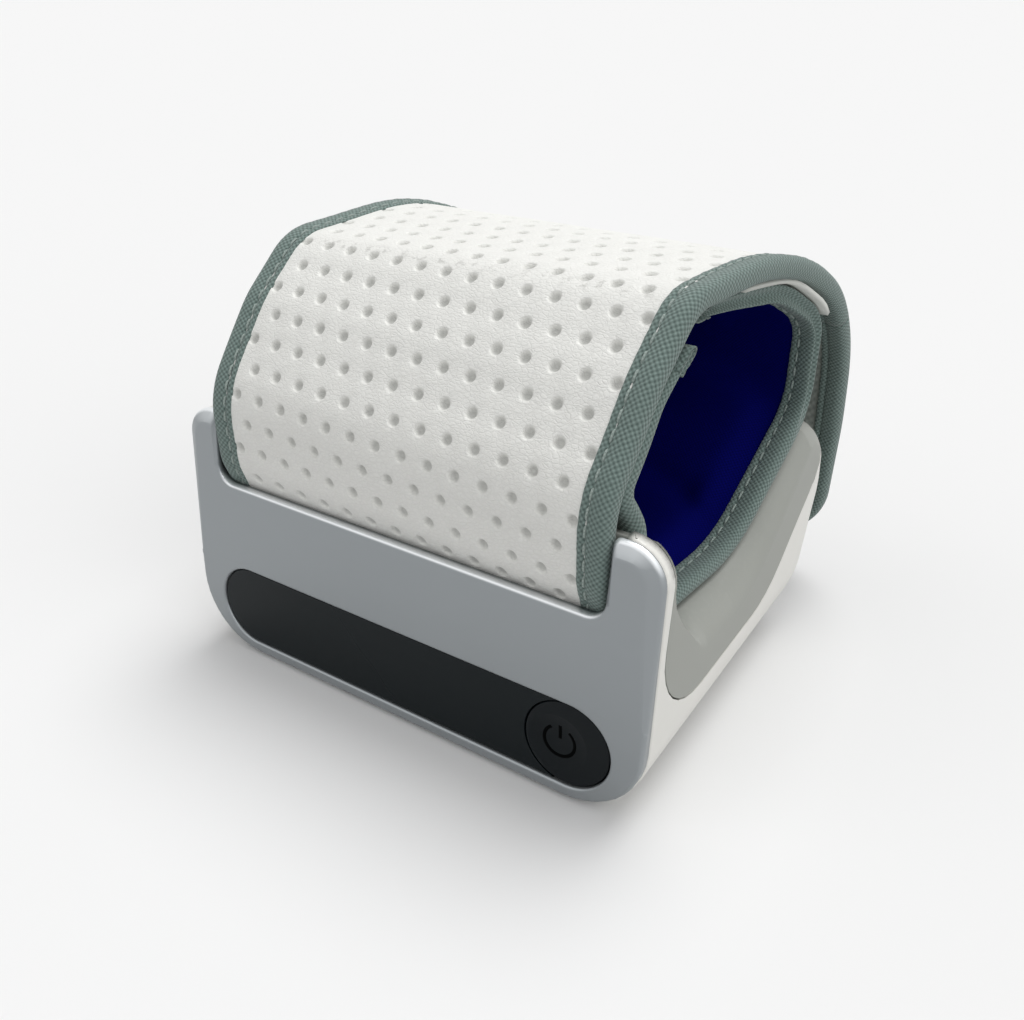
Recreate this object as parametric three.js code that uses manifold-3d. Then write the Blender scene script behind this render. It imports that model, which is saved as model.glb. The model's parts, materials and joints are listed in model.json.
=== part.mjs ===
// Wrist blood pressure monitor, closed as for storage, with its strap lying over the cuff.
// Millimetres, +Z up. X runs along the wrist and the display faces -Y. The object is modelled
// with Y = 0 at the middle of the housing, and the whole group is then set with the middle of
// its box on the Z axis, standing on Z = 0.
import * as THREE from 'three';
import { mergeVertices } from 'three/addons/utils/BufferGeometryUtils.js';
import Module from 'manifold-3d';

const wasm = await Module();
wasm.setup();

// Housing
const BODY_WIDTH = 90;
const BODY_DEPTH = 73;
const BODY_HEIGHT = 46.5;
const SHELL_WALL = 2;
const CRADLE_WALL = 1.8;
const BASE_RISE = 9.5; // how far in front of the back the base line would meet the floor
const BASE_CURVE = 20; // radius between the base and the back wall
const BASE_EDGE = 1.2; // radius of the base's front edge
const CORNER_LOW = 12.5; // front view, lower corners
const CORNER_HIGH = 6.5; // front view, upper corners
const BACK_WALL_DROP = 5; // back wall below the ears' top
const FRONT_WALL_DROP = 0.9; // cradle's front wall below the ears' top
const JOIN_GAP = 0.3; // between pieces that meet

// Front panel, leaning back, with the notch for the strap and the slot for the display
const PANEL_TILT = 3;
const PANEL_THICKNESS = 1.8;
const PANEL_FOOT = 0.8; // lower edge above the floor
const EAR_WIDTH = 7; // beside the notch
const EAR_CORNER = 0.4; // radius of an ear's inner corner
const NOTCH_DEPTH = 12.6;
const NOTCH_CORNER = 3;
const SLOT_MARGIN = 5; // at each end of the slot
const SLOT_HEIGHT = 15;
const SLOT_FOOT = 2.8; // lower edge of the slot above the floor
const WINDOW_INSET = 0.4;
const WINDOW_THICKNESS = 1.2;

// Power button with a shallow dish and a cut power sign
const BUTTON_GAP = 0.2;
const BUTTON_TRAVEL = 0.6;
const BUTTON_RIM = 1.8;
const BUTTON_DISH = 0.7;
const BUTTON_EDGE = 0.25; // chamfer round the button's face
const BUTTON_LAND = 0.6; // flat ring between the edge and the dish
const BUTTON_STEM = 4;
const BUTTON_SIDES = 36;
const DISH_RINGS = 4;
const SIGN_RADIUS = 2.9;
const SIGN_STROKE = 0.55;
const SIGN_DEPTH = 0.25;
const SIGN_OPENING = 70; // degrees of the ring left out for the bar
const SIGN_BAR_RISE = 0.3; // bar's end outside the middle of the ring's stroke
const SIGN_STEPS = 16; // facets along each side of the ring

// Wrist seat of the cradle, seen from the side
const UNDER_SEAT_ROOM = 1.1; // between the cradle and the highest piece under it
const SEAT_FRONT_RADIUS = 13;
const SEAT_BACK_RADIUS = 24;
const SEAT_RISE_START = 32.7; // in front of the back, where the seat begins to rise
const SEAT_BACK_INSET = 10.5; // back wall's upper inner edge, in front of the back
const SKIRT_HEIGHT = 14.4; // lower edge of the grey side skirts
const SKIRT_FRONT = 1.4; // skirt in front of the cradle's front wall
const SKIRT_FRONT_RADIUS = 15;
const SKIRT_BACK_START = 24.5; // in front of the back
const SKIRT_BACK_RADIUS = 20;
const SKIRT_KNEE_INSET = 5.5;
const SKIRT_KNEE_HEIGHT = 29;
const SKIRT_KNEE_RADIUS = 10;
const BACK_RIM = 2.4; // white rim left behind the cradle

// Strap and cuff, cut as one width, drifting sideways as they go back
const STRAP_SIDE_GAP = 1; // between the strap's edges and the notch
const CUFF_DRIFT = 0.0926; // mm to the side for each mm back
const BINDING_WIDTH = 5.5;
const BINDING_TAPE = 0.5;
const LAYER_GAP = 0.2;
const SKIN = 1;
const STRAP_FORMER = 0.8;
const STRAP_LINING = 0.8;
const CUFF_BACKING = 0.6;
const BLADDER = 0.8;
const CUFF_LINING = 0.6;
const CUFF_FORMER = 0.8;
const STRAP_INSET = 0.5; // strap's face behind the panel's face at the notch
const CUFF_TO_STRAP = 0.8;
const CUFF_BACK_INSET = 8.2;
const CUFF_TAB = 9;
const CUFF_TOP_LAP = 14; // stretch of the cuff's far end that lies under the strap's top
const BLADDER_MARGIN = 3;
const TAIL_END_HEIGHT = 8;
const TAIL_CORNER = 11;
const STRAP_HINGE_RISE = 2.1; // strap's bending line above the notch's edge
const TAIL_HINGE_RISE = 5; // tail's bending line above the ears' top
const ROOT_OVER_SLOT = 1.4; // strap's root ends this far above the display slot

// Corners of the strap's outer face: forward of or behind the housing, above its top, radius
const FRONT_BULGE = { out: 0.4, up: 4.5, radius: 16 };
const SHOULDER = { in: 10.7, up: 18.5, radius: 22 };
const CREASE = { in: 23.2, up: 26.7, radius: 3 };
const TOP_BACK = { in: 19.5, up: 27.7, radius: 24 };
const BACK_TOP = { out: 9.5, up: 12, radius: 12 };
const BACK_MIDDLE = { out: 13, down: 12.5, radius: 40 };
const TAIL_END_OUT = 11.5;
const CUFF_ROUNDING = { shoulder: 11, crown: 9, top: 18 }; // radii of the cuff's upper corners

// Batteries (two AAA cells) in their tray, with the door under them
const CELL_DIAMETER = 10.5;
const CELL_LENGTH = 44.5;
const CELL_CAP = 0.8;
const CELL_CAP_DIAMETER = 3.7;
const CELL_PITCH = 11.2;
const CONTACT = 0.4;
const CONTACT_HEIGHT = 7;
const TRAY_WALL = 1.2;
const TRAY_FROM_FRONT = 22;
const TRAY_TO_PUMP = 1.15;
const DOOR_LIFT = 0.4;
const DOOR_LIP = 1.5;
const DOOR_LEDGE = 0.8;
const CELL_CLEARANCE = 0.65;

// Pump, valve and boards
const PUMP_HEAD_DIAMETER = 20;
const PUMP_HEAD_LENGTH = 16;
const MOTOR_DIAMETER = 16;
const MOTOR_LENGTH = 20;
const PUMP_SIDE_INSET = 13; // pump's middle inside the housing's side
const PUMP_TO_TOWER = 0.4; // clearance between the pump and the screw towers
const VALVE = { width: 9, depth: 9, height: 9, rim: 0.5 };
const MANIFOLD = { width: 12, depth: 10, height: 6, aside: 14, ahead: 6 }; // from the cells' middle
const TUBE_DIAMETER = 4;
const TUBE_LEAD = 6; // straight stretch at each end of a tube
const TUBE_STEPS = 12;
const TUBE_SIDES = 10;
const NIPPLE_DIAMETER = 5;
const NIPPLE_CLEARANCE = 0.5;
const BOARD = { margin: 3, height: 18, thickness: 1.2, depth: 6.5, corner: 1 };
const DISPLAY = { margin: 3.5, lip: 1.5 }; // inside the window's ends, and inside its long edges
const CHIP = { side: 9, thickness: 1.4, aside: 5.5 }; // from the display's middle
const SENSOR = { side: 7, thickness: 3, aside: -6.5, up: 5.5 };
const SWITCH = { side: 6, thickness: 1, plunger: 3.2, plungerLength: 0.6 };

// Screws that hold the cradle down on the shell
const SCREW_SIDE_INSET = 11;
const SCREW_SHANK = 2.6;
const SCREW_HEAD = 5;
const SCREW_HEAD_HEIGHT = 1.3;
const SCREW_SEAT = 4.5;
const SCREW_GRIP = 5.5;
const TOWER_HEIGHT = 7.5;
const TOWER_RADIUS = 3.75;
const TOWER_GAP = 0.4; // between a tower and the board
const BOSS_RADIUS = 3;

const ARC_STEP = 12; // degrees of a curve for each facet
const ROUND_SIDES = 24;
const FRONT = -BODY_DEPTH / 2;
const BACK = BODY_DEPTH / 2;
const SIDE = BODY_WIDTH / 2;
const BACK_WALL_TOP = BODY_HEIGHT - BACK_WALL_DROP;
const FRONT_WALL_TOP = BODY_HEIGHT - FRONT_WALL_DROP;
const NOTCH_HALF = SIDE - EAR_WIDTH;
const NOTCH_HEIGHT = BODY_HEIGHT - NOTCH_DEPTH;
const SLOT_LENGTH = BODY_WIDTH - 2 * SLOT_MARGIN;
const SLOT_CENTRE = SLOT_FOOT + SLOT_HEIGHT / 2;
const STRAP_HINGE_HEIGHT = NOTCH_HEIGHT + STRAP_HINGE_RISE;
const TAIL_HINGE_HEIGHT = BODY_HEIGHT + TAIL_HINGE_RISE;
const ROOT_LOW = SLOT_FOOT + SLOT_HEIGHT + ROOT_OVER_SLOT;
const ABOVE_ALL = 2 * BODY_HEIGHT; // a height over the housing, where open outlines end
const TILT = THREE.MathUtils.degToRad(PANEL_TILT);
const FAR = 3 * BODY_WIDTH; // reach of a cut that goes right through
const v2 = (a, b) => new THREE.Vector2(a, b);

// Y of a point a given depth behind the panel's face, at a given height
const panelY = (z, depth = 0) => FRONT + z * Math.tan(TILT) + depth / Math.cos(TILT);

// A corner of a path: where it would be if it were sharp, and its radius
const corner = (y, z, r = 0) => ({ p: v2(y, z), r });

// The turn of a path at one of its corners
function turnAt(corners, i) {
  const into = corners[i].p.clone().sub(corners[i - 1].p).normalize();
  const out = corners[i + 1].p.clone().sub(corners[i].p).normalize();
  return { into, turn: Math.atan2(into.cross(out), into.dot(out)) };
}

// The radii of a path's corners, each limited so that two arcs on a line don't run into each other
function cornerRadii(corners) {
  const half = corners.map((item, i) => (
    i > 0 && i < corners.length - 1 ? Math.tan(Math.abs(turnAt(corners, i).turn) / 2) : 0
  ));
  const share = corners.map(() => 1);
  for (let i = 0; i < corners.length - 1; i += 1) {
    const line = corners[i].p.distanceTo(corners[i + 1].p);
    const taken = corners[i].r * half[i] + corners[i + 1].r * half[i + 1];
    const fits = Math.min(1, line / Math.max(taken, 1e-9));
    share[i] = Math.min(share[i], fits);
    share[i + 1] = Math.min(share[i + 1], fits);
  }
  return corners.map((item, i) => item.r * share[i]);
}

// The points of a path through its corners, each rounded by an arc
function pathPoints(corners) {
  const points = [corners[0].p.clone()];
  const radii = cornerRadii(corners);
  for (let i = 1; i < corners.length - 1; i += 1) {
    const here = corners[i].p;
    const { into, turn } = turnAt(corners, i);
    const radius = radii[i];
    if (radius < 1e-6 || Math.abs(turn) < 1e-3) {
      points.push(here.clone());
      continue;
    }
    const start = here.clone().addScaledVector(into, -radius * Math.tan(Math.abs(turn) / 2));
    const side = Math.sign(turn);
    const centre = start.clone().add(v2(-into.y, into.x).multiplyScalar(radius * side));
    const steps = Math.max(2, Math.ceil(THREE.MathUtils.radToDeg(Math.abs(turn)) / ARC_STEP));
    for (let k = 0; k <= steps; k += 1) {
      points.push(start.clone().rotateAround(centre, (turn * k) / steps));
    }
  }
  points.push(corners[corners.length - 1].p.clone());
  return points;
}

// The same path moved sideways to its left by a distance
function offsetCorners(corners, distance) {
  const normals = [];
  for (let i = 0; i < corners.length - 1; i += 1) {
    const along = corners[i + 1].p.clone().sub(corners[i].p).normalize();
    normals.push(v2(-along.y, along.x));
  }
  return corners.map((item, i) => {
    const before = normals[Math.max(i - 1, 0)];
    const after = normals[Math.min(i, normals.length - 1)];
    const shift = before.clone().add(after).multiplyScalar(distance / (1 + before.dot(after)));
    const side = Math.sign(before.cross(after));
    return { p: item.p.clone().add(shift), r: Math.max(item.r - distance * side, 0) };
  });
}

// Where the line through two points of one pair meets the line through another pair
function meet(a, b, c, d) {
  const along = b.clone().sub(a);
  const other = d.clone().sub(c);
  const share = c.clone().sub(a).cross(other) / along.cross(other);
  return a.clone().addScaledVector(along, share);
}

// A geometry as a closed solid: shared points merged, flat triangles dropped, faces out
function solid(geometry) {
  const bare = geometry.clone();
  bare.deleteAttribute('normal');
  bare.deleteAttribute('uv');
  const merged = mergeVertices(bare, 1e-4);
  const places = merged.attributes.position.array;
  const triangles = [];
  let volume = 0;
  const point = (k) => new THREE.Vector3().fromArray(places, 3 * k);
  for (let i = 0; i < merged.index.count; i += 3) {
    const [a, b, c] = [0, 1, 2].map((k) => merged.index.getX(i + k));
    if (a === b || b === c || c === a) {
      continue;
    }
    triangles.push([a, b, c]);
    volume += point(a).dot(point(b).cross(point(c)));
  }
  const facing = volume < 0 ? triangles.map(([a, b, c]) => [a, c, b]) : triangles;
  return new wasm.Manifold(new wasm.Mesh({
    numProp: 3,
    vertProperties: new Float32Array(places),
    triVerts: new Uint32Array(facing.flat()),
  }));
}

// Outlines drawn with (y, z), (x, z) or (x, y) points, extruded along the third axis
function extrude(points, depth, holes = []) {
  const shape = new THREE.Shape(points);
  shape.holes = holes.map((hole) => new THREE.Path(hole));
  return new THREE.ExtrudeGeometry(shape, { depth, bevelEnabled: false, curveSegments: 1 });
}

function alongX(points, x0, x1) {
  const geometry = extrude(points, x1 - x0);
  const turn = new THREE.Matrix4().set(0, 0, 1, x0, 1, 0, 0, 0, 0, 1, 0, 0, 0, 0, 0, 1);
  return solid(geometry.applyMatrix4(turn));
}

function alongY(points, y0, y1, holes = []) {
  return solid(extrude(points, y1 - y0, holes).rotateX(Math.PI / 2).translate(0, y1, 0));
}

function box(x0, x1, y0, y1, z0, z1) {
  const geometry = new THREE.BoxGeometry(x1 - x0, y1 - y0, z1 - z0);
  return solid(geometry.translate((x0 + x1) / 2, (y0 + y1) / 2, (z0 + z1) / 2));
}

// Round bar along one axis, from one end to the other, centred on the other two
function bar(axis, diameter, from, to, a, b) {
  const geometry = new THREE.CylinderGeometry(diameter / 2, diameter / 2, to - from, ROUND_SIDES);
  const middle = (from + to) / 2;
  if (axis === 'x') {
    return solid(geometry.rotateZ(Math.PI / 2).translate(middle, a, b));
  }
  if (axis === 'y') {
    return solid(geometry.translate(a, middle, b));
  }
  return solid(geometry.rotateX(Math.PI / 2).translate(a, b, middle));
}

// A closed outline, begun where the arcs of its last and first corners leave the line free
function closed(corners) {
  const last = corners[corners.length - 1];
  const first = corners[0];
  const line = last.p.distanceTo(first.p);
  const share = (line + last.r - first.r) / (2 * line);
  const start = { p: last.p.clone().lerp(first.p, share), r: 0 };
  return pathPoints([start, ...corners, start]).slice(0, -1);
}

function stadium(length, height, cx, cz) {
  const x = length / 2;
  const z = height / 2;
  const places = [[-x, -z], [x, -z], [x, z], [-x, z]];
  return closed(places.map(([a, b]) => corner(cx + a, cz + b, z - 1e-3)));
}

// The object's parts are gathered here
const device = new THREE.Group();

// Strap and cuff drift sideways as they go back from the notch
const drifting = new THREE.Group();
device.add(drifting);

function addPart(name, shape, look, parent = device) {
  const { vertProperties, triVerts } = shape.getMesh();
  const geometry = new THREE.BufferGeometry();
  geometry.setAttribute('position', new THREE.BufferAttribute(new Float32Array(vertProperties), 3));
  geometry.setIndex(new THREE.BufferAttribute(new Uint32Array(triVerts), 1));
  geometry.computeVertexNormals();
  const material = new THREE.MeshStandardMaterial(look);
  const mesh = new THREE.Mesh(geometry, material);
  mesh.name = name;
  parent.add(mesh);
}

const looks = {
  silver: { color: 0x8b8f92, roughness: 0.38, metalness: 0.7 },
  white: { color: 0xe2e1db, roughness: 0.4, metalness: 0 },
  grey: { color: 0x9ea09a, roughness: 0.6, metalness: 0 },
  glass: { color: 0x21262a, roughness: 0.12, metalness: 0 },
  button: { color: 0x24282b, roughness: 0.35, metalness: 0 },
  leatherette: { color: 0xeeeeea, roughness: 0.55, metalness: 0 },
  tape: { color: 0x707c77, roughness: 0.85, metalness: 0 },
  navy: { color: 0x0a0f5a, roughness: 0.9, metalness: 0 },
  knit: { color: 0x8d9490, roughness: 0.95, metalness: 0 },
  clear: { color: 0xc8ccc8, roughness: 0.35, metalness: 0 },
  bladder: { color: 0xbfc4c2, roughness: 0.5, metalness: 0 },
  board: { color: 0x1d5b34, roughness: 0.55, metalness: 0 },
  chip: { color: 0x18181a, roughness: 0.5, metalness: 0 },
  steel: { color: 0xb9bbbd, roughness: 0.3, metalness: 1 },
  black: { color: 0x242424, roughness: 0.6, metalness: 0 },
  tube: { color: 0xd9d6cc, roughness: 0.45, metalness: 0 },
  cell: { color: 0x2c3134, roughness: 0.4, metalness: 0.3 },
};

// Strap and cuff paths, seen from the side
const strapThickness = 2 * BINDING_TAPE + 4 * LAYER_GAP + SKIN + STRAP_FORMER + STRAP_LINING;
const cuffThickness = 2 * BINDING_TAPE + 4 * LAYER_GAP + CUFF_BACKING + BLADDER + CUFF_LINING;
const strapFace = panelY(NOTCH_HEIGHT) + STRAP_INSET;
drifting.matrixAutoUpdate = false;
drifting.matrix.makeShear(0, 0, CUFF_DRIFT, 0, 0, 0).setPosition(-CUFF_DRIFT * strapFace, 0, 0);
const pocketBack = strapFace + strapThickness + JOIN_GAP;
const seatFront = pocketBack + CRADLE_WALL;

const strapCorners = [
  corner(strapFace, STRAP_HINGE_HEIGHT),
  corner(strapFace - FRONT_BULGE.out, BODY_HEIGHT + FRONT_BULGE.up, FRONT_BULGE.radius),
  corner(strapFace + SHOULDER.in, BODY_HEIGHT + SHOULDER.up, SHOULDER.radius),
  corner(strapFace + CREASE.in, BODY_HEIGHT + CREASE.up, CREASE.radius),
  corner(BACK - TOP_BACK.in, BODY_HEIGHT + TOP_BACK.up, TOP_BACK.radius),
  corner(BACK + BACK_TOP.out, BODY_HEIGHT + BACK_TOP.up, BACK_TOP.radius),
  corner(BACK + BACK_MIDDLE.out, BODY_HEIGHT - BACK_MIDDLE.down, BACK_MIDDLE.radius),
  corner(BACK + TAIL_END_OUT, TAIL_END_HEIGHT),
];

// Places of the pieces inside, counted from the front panel back and from the floor up
const wallDepth = PANEL_THICKNESS + JOIN_GAP + SHELL_WALL;
const boardBack = BOARD.depth + BOARD.thickness;
const screwX = SIDE - SCREW_SIDE_INSET;
const screwFront = panelY(TOWER_HEIGHT, boardBack) + TOWER_GAP + TOWER_RADIUS;
const pumpX = SIDE - PUMP_SIDE_INSET;
const pumpZ = SHELL_WALL + JOIN_GAP + PUMP_HEAD_DIAMETER / 2;
const pumpFront = screwFront + TOWER_RADIUS + PUMP_TO_TOWER;
const headBack = pumpFront + PUMP_HEAD_LENGTH;
const motorBack = headBack + JOIN_GAP + MOTOR_LENGTH;
const screwBack = motorBack + PUMP_TO_TOWER + TOWER_RADIUS;
const screwPlaces = [screwFront, screwBack].flatMap((y) => [[-screwX, y], [screwX, y]]);
const contactRoom = CONTACT + 2 * JOIN_GAP;
const trayHalfX = CELL_LENGTH / 2 + CELL_CAP / 2 + contactRoom;
const trayHalfY = CELL_PITCH / 2 + CELL_DIAMETER / 2 + JOIN_GAP;
const trayOuterX = trayHalfX + TRAY_WALL;
const trayOuterY = trayHalfY + TRAY_WALL;
const cellX = pumpX - PUMP_HEAD_DIAMETER / 2 - TRAY_TO_PUMP - trayOuterX;
const cellY = FRONT + TRAY_FROM_FRONT + trayOuterY;
const cellZ = SHELL_WALL + CELL_CLEARANCE + CELL_DIAMETER / 2;
const trayTop = cellZ + CELL_DIAMETER / 2 + JOIN_GAP;
const trayRoof = trayTop + TRAY_WALL;
const manifoldX = cellX + MANIFOLD.aside;
const manifoldY = cellY - MANIFOLD.ahead;
const manifoldLow = trayRoof + JOIN_GAP;
const manifoldTop = manifoldLow + MANIFOLD.height;
const pumpTop = pumpZ + PUMP_HEAD_DIAMETER / 2;
const seatHeight = Math.max(pumpTop, manifoldTop) + UNDER_SEAT_ROOM + CRADLE_WALL;

const seatCorners = [
  corner(seatFront, FRONT_WALL_TOP),
  corner(seatFront, seatHeight, SEAT_FRONT_RADIUS),
  corner(BACK - SEAT_RISE_START, seatHeight, SEAT_BACK_RADIUS),
  corner(BACK - SEAT_BACK_INSET, BACK_WALL_TOP),
];

// The cuff lies in the seat, and both its ends lie under the strap
function cuffPath() {
  const onSeat = offsetCorners(seatCorners, JOIN_GAP).map((item) => item.p);
  const formerRoom = CUFF_FORMER + LAYER_GAP;
  const underFront = offsetCorners(strapCorners, -(strapThickness + CUFF_TO_STRAP));
  const underTop = offsetCorners(strapCorners, -(strapThickness + CUFF_TO_STRAP + formerRoom));
  const backY = BACK - CUFF_BACK_INSET;
  const backLow = v2(backY, 0);
  const backHigh = v2(backY, BODY_HEIGHT);
  const front = meet(onSeat[0], onSeat[1], underFront[1].p, underFront[2].p);
  const knee = meet(onSeat[2], onSeat[3], backLow, backHigh);
  const crown = meet(backLow, backHigh, underTop[4].p, underTop[5].p);
  const tabWay = underFront[3].p.clone().sub(underFront[2].p).normalize();
  const topWay = underTop[3].p.clone().sub(underTop[4].p).normalize();
  const tabEnd = underFront[2].p.clone().addScaledVector(tabWay, CUFF_TAB);
  const topEnd = underTop[4].p.clone().addScaledVector(topWay, CUFF_TOP_LAP);
  return [
    { p: tabEnd, r: 0 },
    { p: underFront[2].p, r: CUFF_ROUNDING.shoulder },
    { p: front, r: FRONT_BULGE.radius },
    { p: onSeat[1], r: SEAT_FRONT_RADIUS - JOIN_GAP },
    { p: onSeat[2], r: SEAT_BACK_RADIUS - JOIN_GAP },
    { p: knee, r: BACK_TOP.radius },
    { p: crown, r: CUFF_ROUNDING.crown },
    { p: underTop[4].p, r: CUFF_ROUNDING.top },
    { p: topEnd, r: 0 },
  ];
}
const cuffCorners = cuffPath();

// A path made longer at both ends
function lengthened(corners, extra) {
  const ends = corners.slice();
  const last = corners.length - 1;
  const pull = (end, next) => {
    const away = corners[end].p.clone().sub(corners[next].p).setLength(extra);
    ends[end] = { p: corners[end].p.clone().add(away), r: 0 };
  };
  if (extra > 0) {
    pull(0, 1);
    pull(last, last - 1);
  }
  return ends;
}

// A band along a path, between two depths under the face that the path draws.
// The strap's path has its inner side on the right, the cuff's on the left.
function band(corners, inward, from, to, x0, x1, extra) {
  const path = lengthened(corners, extra);
  const outer = pathPoints(offsetCorners(path, inward * from));
  const inner = pathPoints(offsetCorners(path, inward * to));
  return alongX([...outer, ...inner.reverse()], x0, x1);
}
const strapBand = (from, to, x0, x1, extra = 0) => band(strapCorners, -1, from, to, x0, x1, extra);
const cuffBand = (from, to, x0, x1, extra = 0) => band(cuffCorners, 1, from, to, x0, x1, extra);

// Housing: what the side view and the front view both allow
const wallCorners = [
  corner(panelY(ABOVE_ALL, PANEL_THICKNESS + JOIN_GAP), ABOVE_ALL),
  corner(panelY(0, PANEL_THICKNESS + JOIN_GAP), 0, BASE_EDGE),
  corner(BACK - BASE_RISE, 0, BASE_CURVE),
  corner(BACK, BACK_WALL_TOP),
  corner(BACK, ABOVE_ALL),
];

const earRadius = Math.min(CORNER_HIGH, EAR_WIDTH - EAR_CORNER);
const outlineCorners = [
  corner(SIDE, BODY_HEIGHT, earRadius),
  corner(-SIDE, BODY_HEIGHT, earRadius),
  corner(-SIDE, 0, CORNER_LOW),
  corner(SIDE, 0, CORNER_LOW),
];

function housingBlock(inset) {
  const side = alongX(pathPoints(offsetCorners(wallCorners, inset)), -SIDE, SIDE);
  const face = closed(outlineCorners.map(({ p, r }) => corner(
    p.x - Math.sign(p.x) * inset,
    p.y > 0 ? p.y + inset : inset,
    Math.max(r - inset, EAR_CORNER),
  )));
  return side.intersect(alongY(face, -FAR, FAR));
}

const skirtCorners = [
  corner(pocketBack - SKIRT_FRONT, ABOVE_ALL),
  corner(pocketBack - SKIRT_FRONT, SKIRT_HEIGHT, SKIRT_FRONT_RADIUS),
  corner(BACK - SKIRT_BACK_START, SKIRT_HEIGHT, SKIRT_BACK_RADIUS),
  corner(BACK - SKIRT_KNEE_INSET, SKIRT_KNEE_HEIGHT, SKIRT_KNEE_RADIUS),
  corner(BACK - BACK_RIM, BACK_WALL_TOP),
  corner(BACK - BACK_RIM, ABOVE_ALL),
];

const strapPocket = box(
  -NOTCH_HALF - JOIN_GAP, NOTCH_HALF + JOIN_GAP,
  FRONT - FAR, pocketBack, ROOT_LOW - JOIN_GAP, FAR,
);

// The battery door slides in from the back, and its lips run over two ledges
const doorHalf = trayHalfX - DOOR_LIP;
const doorFront = cellY - trayHalfY;
const doorTop = SHELL_WALL - JOIN_GAP / 2;

function makeShell() {
  const opening = alongY(
    stadium(SLOT_LENGTH + 2 * JOIN_GAP, SLOT_HEIGHT + 2 * JOIN_GAP, 0, SLOT_CENTRE),
    -FAR, panelY(BODY_HEIGHT, wallDepth),
  );
  let shell = housingBlock(0).subtract(housingBlock(SHELL_WALL));
  for (const [x, y] of screwPlaces) {
    shell = shell.add(bar('z', 2 * TOWER_RADIUS, SHELL_WALL / 2, TOWER_HEIGHT, x, y));
  }
  shell = shell.intersect(housingBlock(0));
  const overSkirt = pathPoints(offsetCorners(skirtCorners, -JOIN_GAP));
  shell = shell.subtract(alongX(overSkirt, -FAR, FAR)).subtract(strapPocket).subtract(opening);
  for (const [x, y] of screwPlaces) {
    const head = bar('z', SCREW_HEAD + 2 * JOIN_GAP, -SHELL_WALL, SCREW_SEAT, x, y);
    const shank = bar('z', SCREW_SHANK + 2 * JOIN_GAP, 0, 2 * TOWER_HEIGHT, x, y);
    shell = shell.subtract(head).subtract(shank);
  }
  const gap = JOIN_GAP;
  const throat = box(
    cellX - doorHalf - gap, cellX + doorHalf + gap,
    doorFront - gap, FAR, -SHELL_WALL, doorTop + gap,
  );
  const lips = box(
    cellX - trayHalfX - gap, cellX + trayHalfX + gap,
    doorFront - gap, FAR, DOOR_LEDGE, doorTop + gap,
  );
  return shell.subtract(throat.add(lips));
}

function makeDoor() {
  const plate = box(cellX - doorHalf, cellX + doorHalf, doorFront, BACK, 0, doorTop);
  const lips = box(
    cellX - trayHalfX, cellX + trayHalfX, doorFront, BACK, DOOR_LEDGE + JOIN_GAP, doorTop,
  );
  return housingBlock(DOOR_LIFT).intersect(plate.add(lips));
}

function makeCradle() {
  const under = pathPoints(skirtCorners);
  const seat = pathPoints(seatCorners);
  const frontTop = box(-FAR, FAR, -FAR, 0, 0, FRONT_WALL_TOP);
  const top = frontTop.add(box(-FAR, FAR, -FAR, FAR, 0, BACK_WALL_TOP));
  const aboveSeat = [
    v2(seatFront, ABOVE_ALL), ...seat.slice(1), v2(BACK - SEAT_BACK_INSET, ABOVE_ALL),
  ];
  let cradle = alongX(under, -SIDE, SIDE).intersect(housingBlock(0)).intersect(top);
  cradle = cradle.subtract(alongX(aboveSeat, -FAR, FAR));
  const hollowSeat = pathPoints(offsetCorners(seatCorners, -CRADLE_WALL));
  const hollowTop = BACK_WALL_TOP - CRADLE_WALL;
  const hollowBack = BACK - BACK_RIM - CRADLE_WALL;
  const hollow = alongX([
    v2(FRONT - FAR, FRONT_WALL_TOP), ...hollowSeat,
    v2(hollowBack, BACK_WALL_TOP), v2(hollowBack, -FAR), v2(FRONT - FAR, -FAR),
  ], -SIDE + SHELL_WALL, SIDE - SHELL_WALL);
  cradle = cradle.subtract(hollow.intersect(box(-FAR, FAR, -FAR, FAR, -FAR, hollowTop)));
  const midSheet = pathPoints(offsetCorners(seatCorners, -CRADLE_WALL / 2));
  const belowSeat = alongX([...midSheet, v2(BACK, -FAR), v2(FRONT, -FAR)], -SIDE, SIDE);
  const pilotTop = TOWER_HEIGHT + SCREW_GRIP + JOIN_GAP;
  for (const [x, y] of screwPlaces) {
    const boss = bar('z', 2 * BOSS_RADIUS, TOWER_HEIGHT + JOIN_GAP, BACK_WALL_TOP, x, y);
    cradle = cradle.add(boss.intersect(belowSeat));
    cradle = cradle.subtract(bar('z', SCREW_SHANK + 2 * JOIN_GAP, 0, pilotTop, x, y));
  }
  const holeDiameter = NIPPLE_DIAMETER + 2 * NIPPLE_CLEARANCE;
  const nippleHole = bar('z', holeDiameter, 0, BODY_HEIGHT, manifoldX, manifoldY);
  return cradle.subtract(strapPocket).subtract(nippleHole);
}

addPart('main_shell', makeShell(), looks.white);
addPart('cradle', makeCradle(), looks.grey);
addPart('battery_door', makeDoor(), looks.white);

// Front panel and what sits in it, in the leaning frame of the panel: Y is the depth behind its face
const leaning = new THREE.Group();
leaning.position.set(0, FRONT, 0);
leaning.rotation.x = -TILT;
device.add(leaning);

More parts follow.
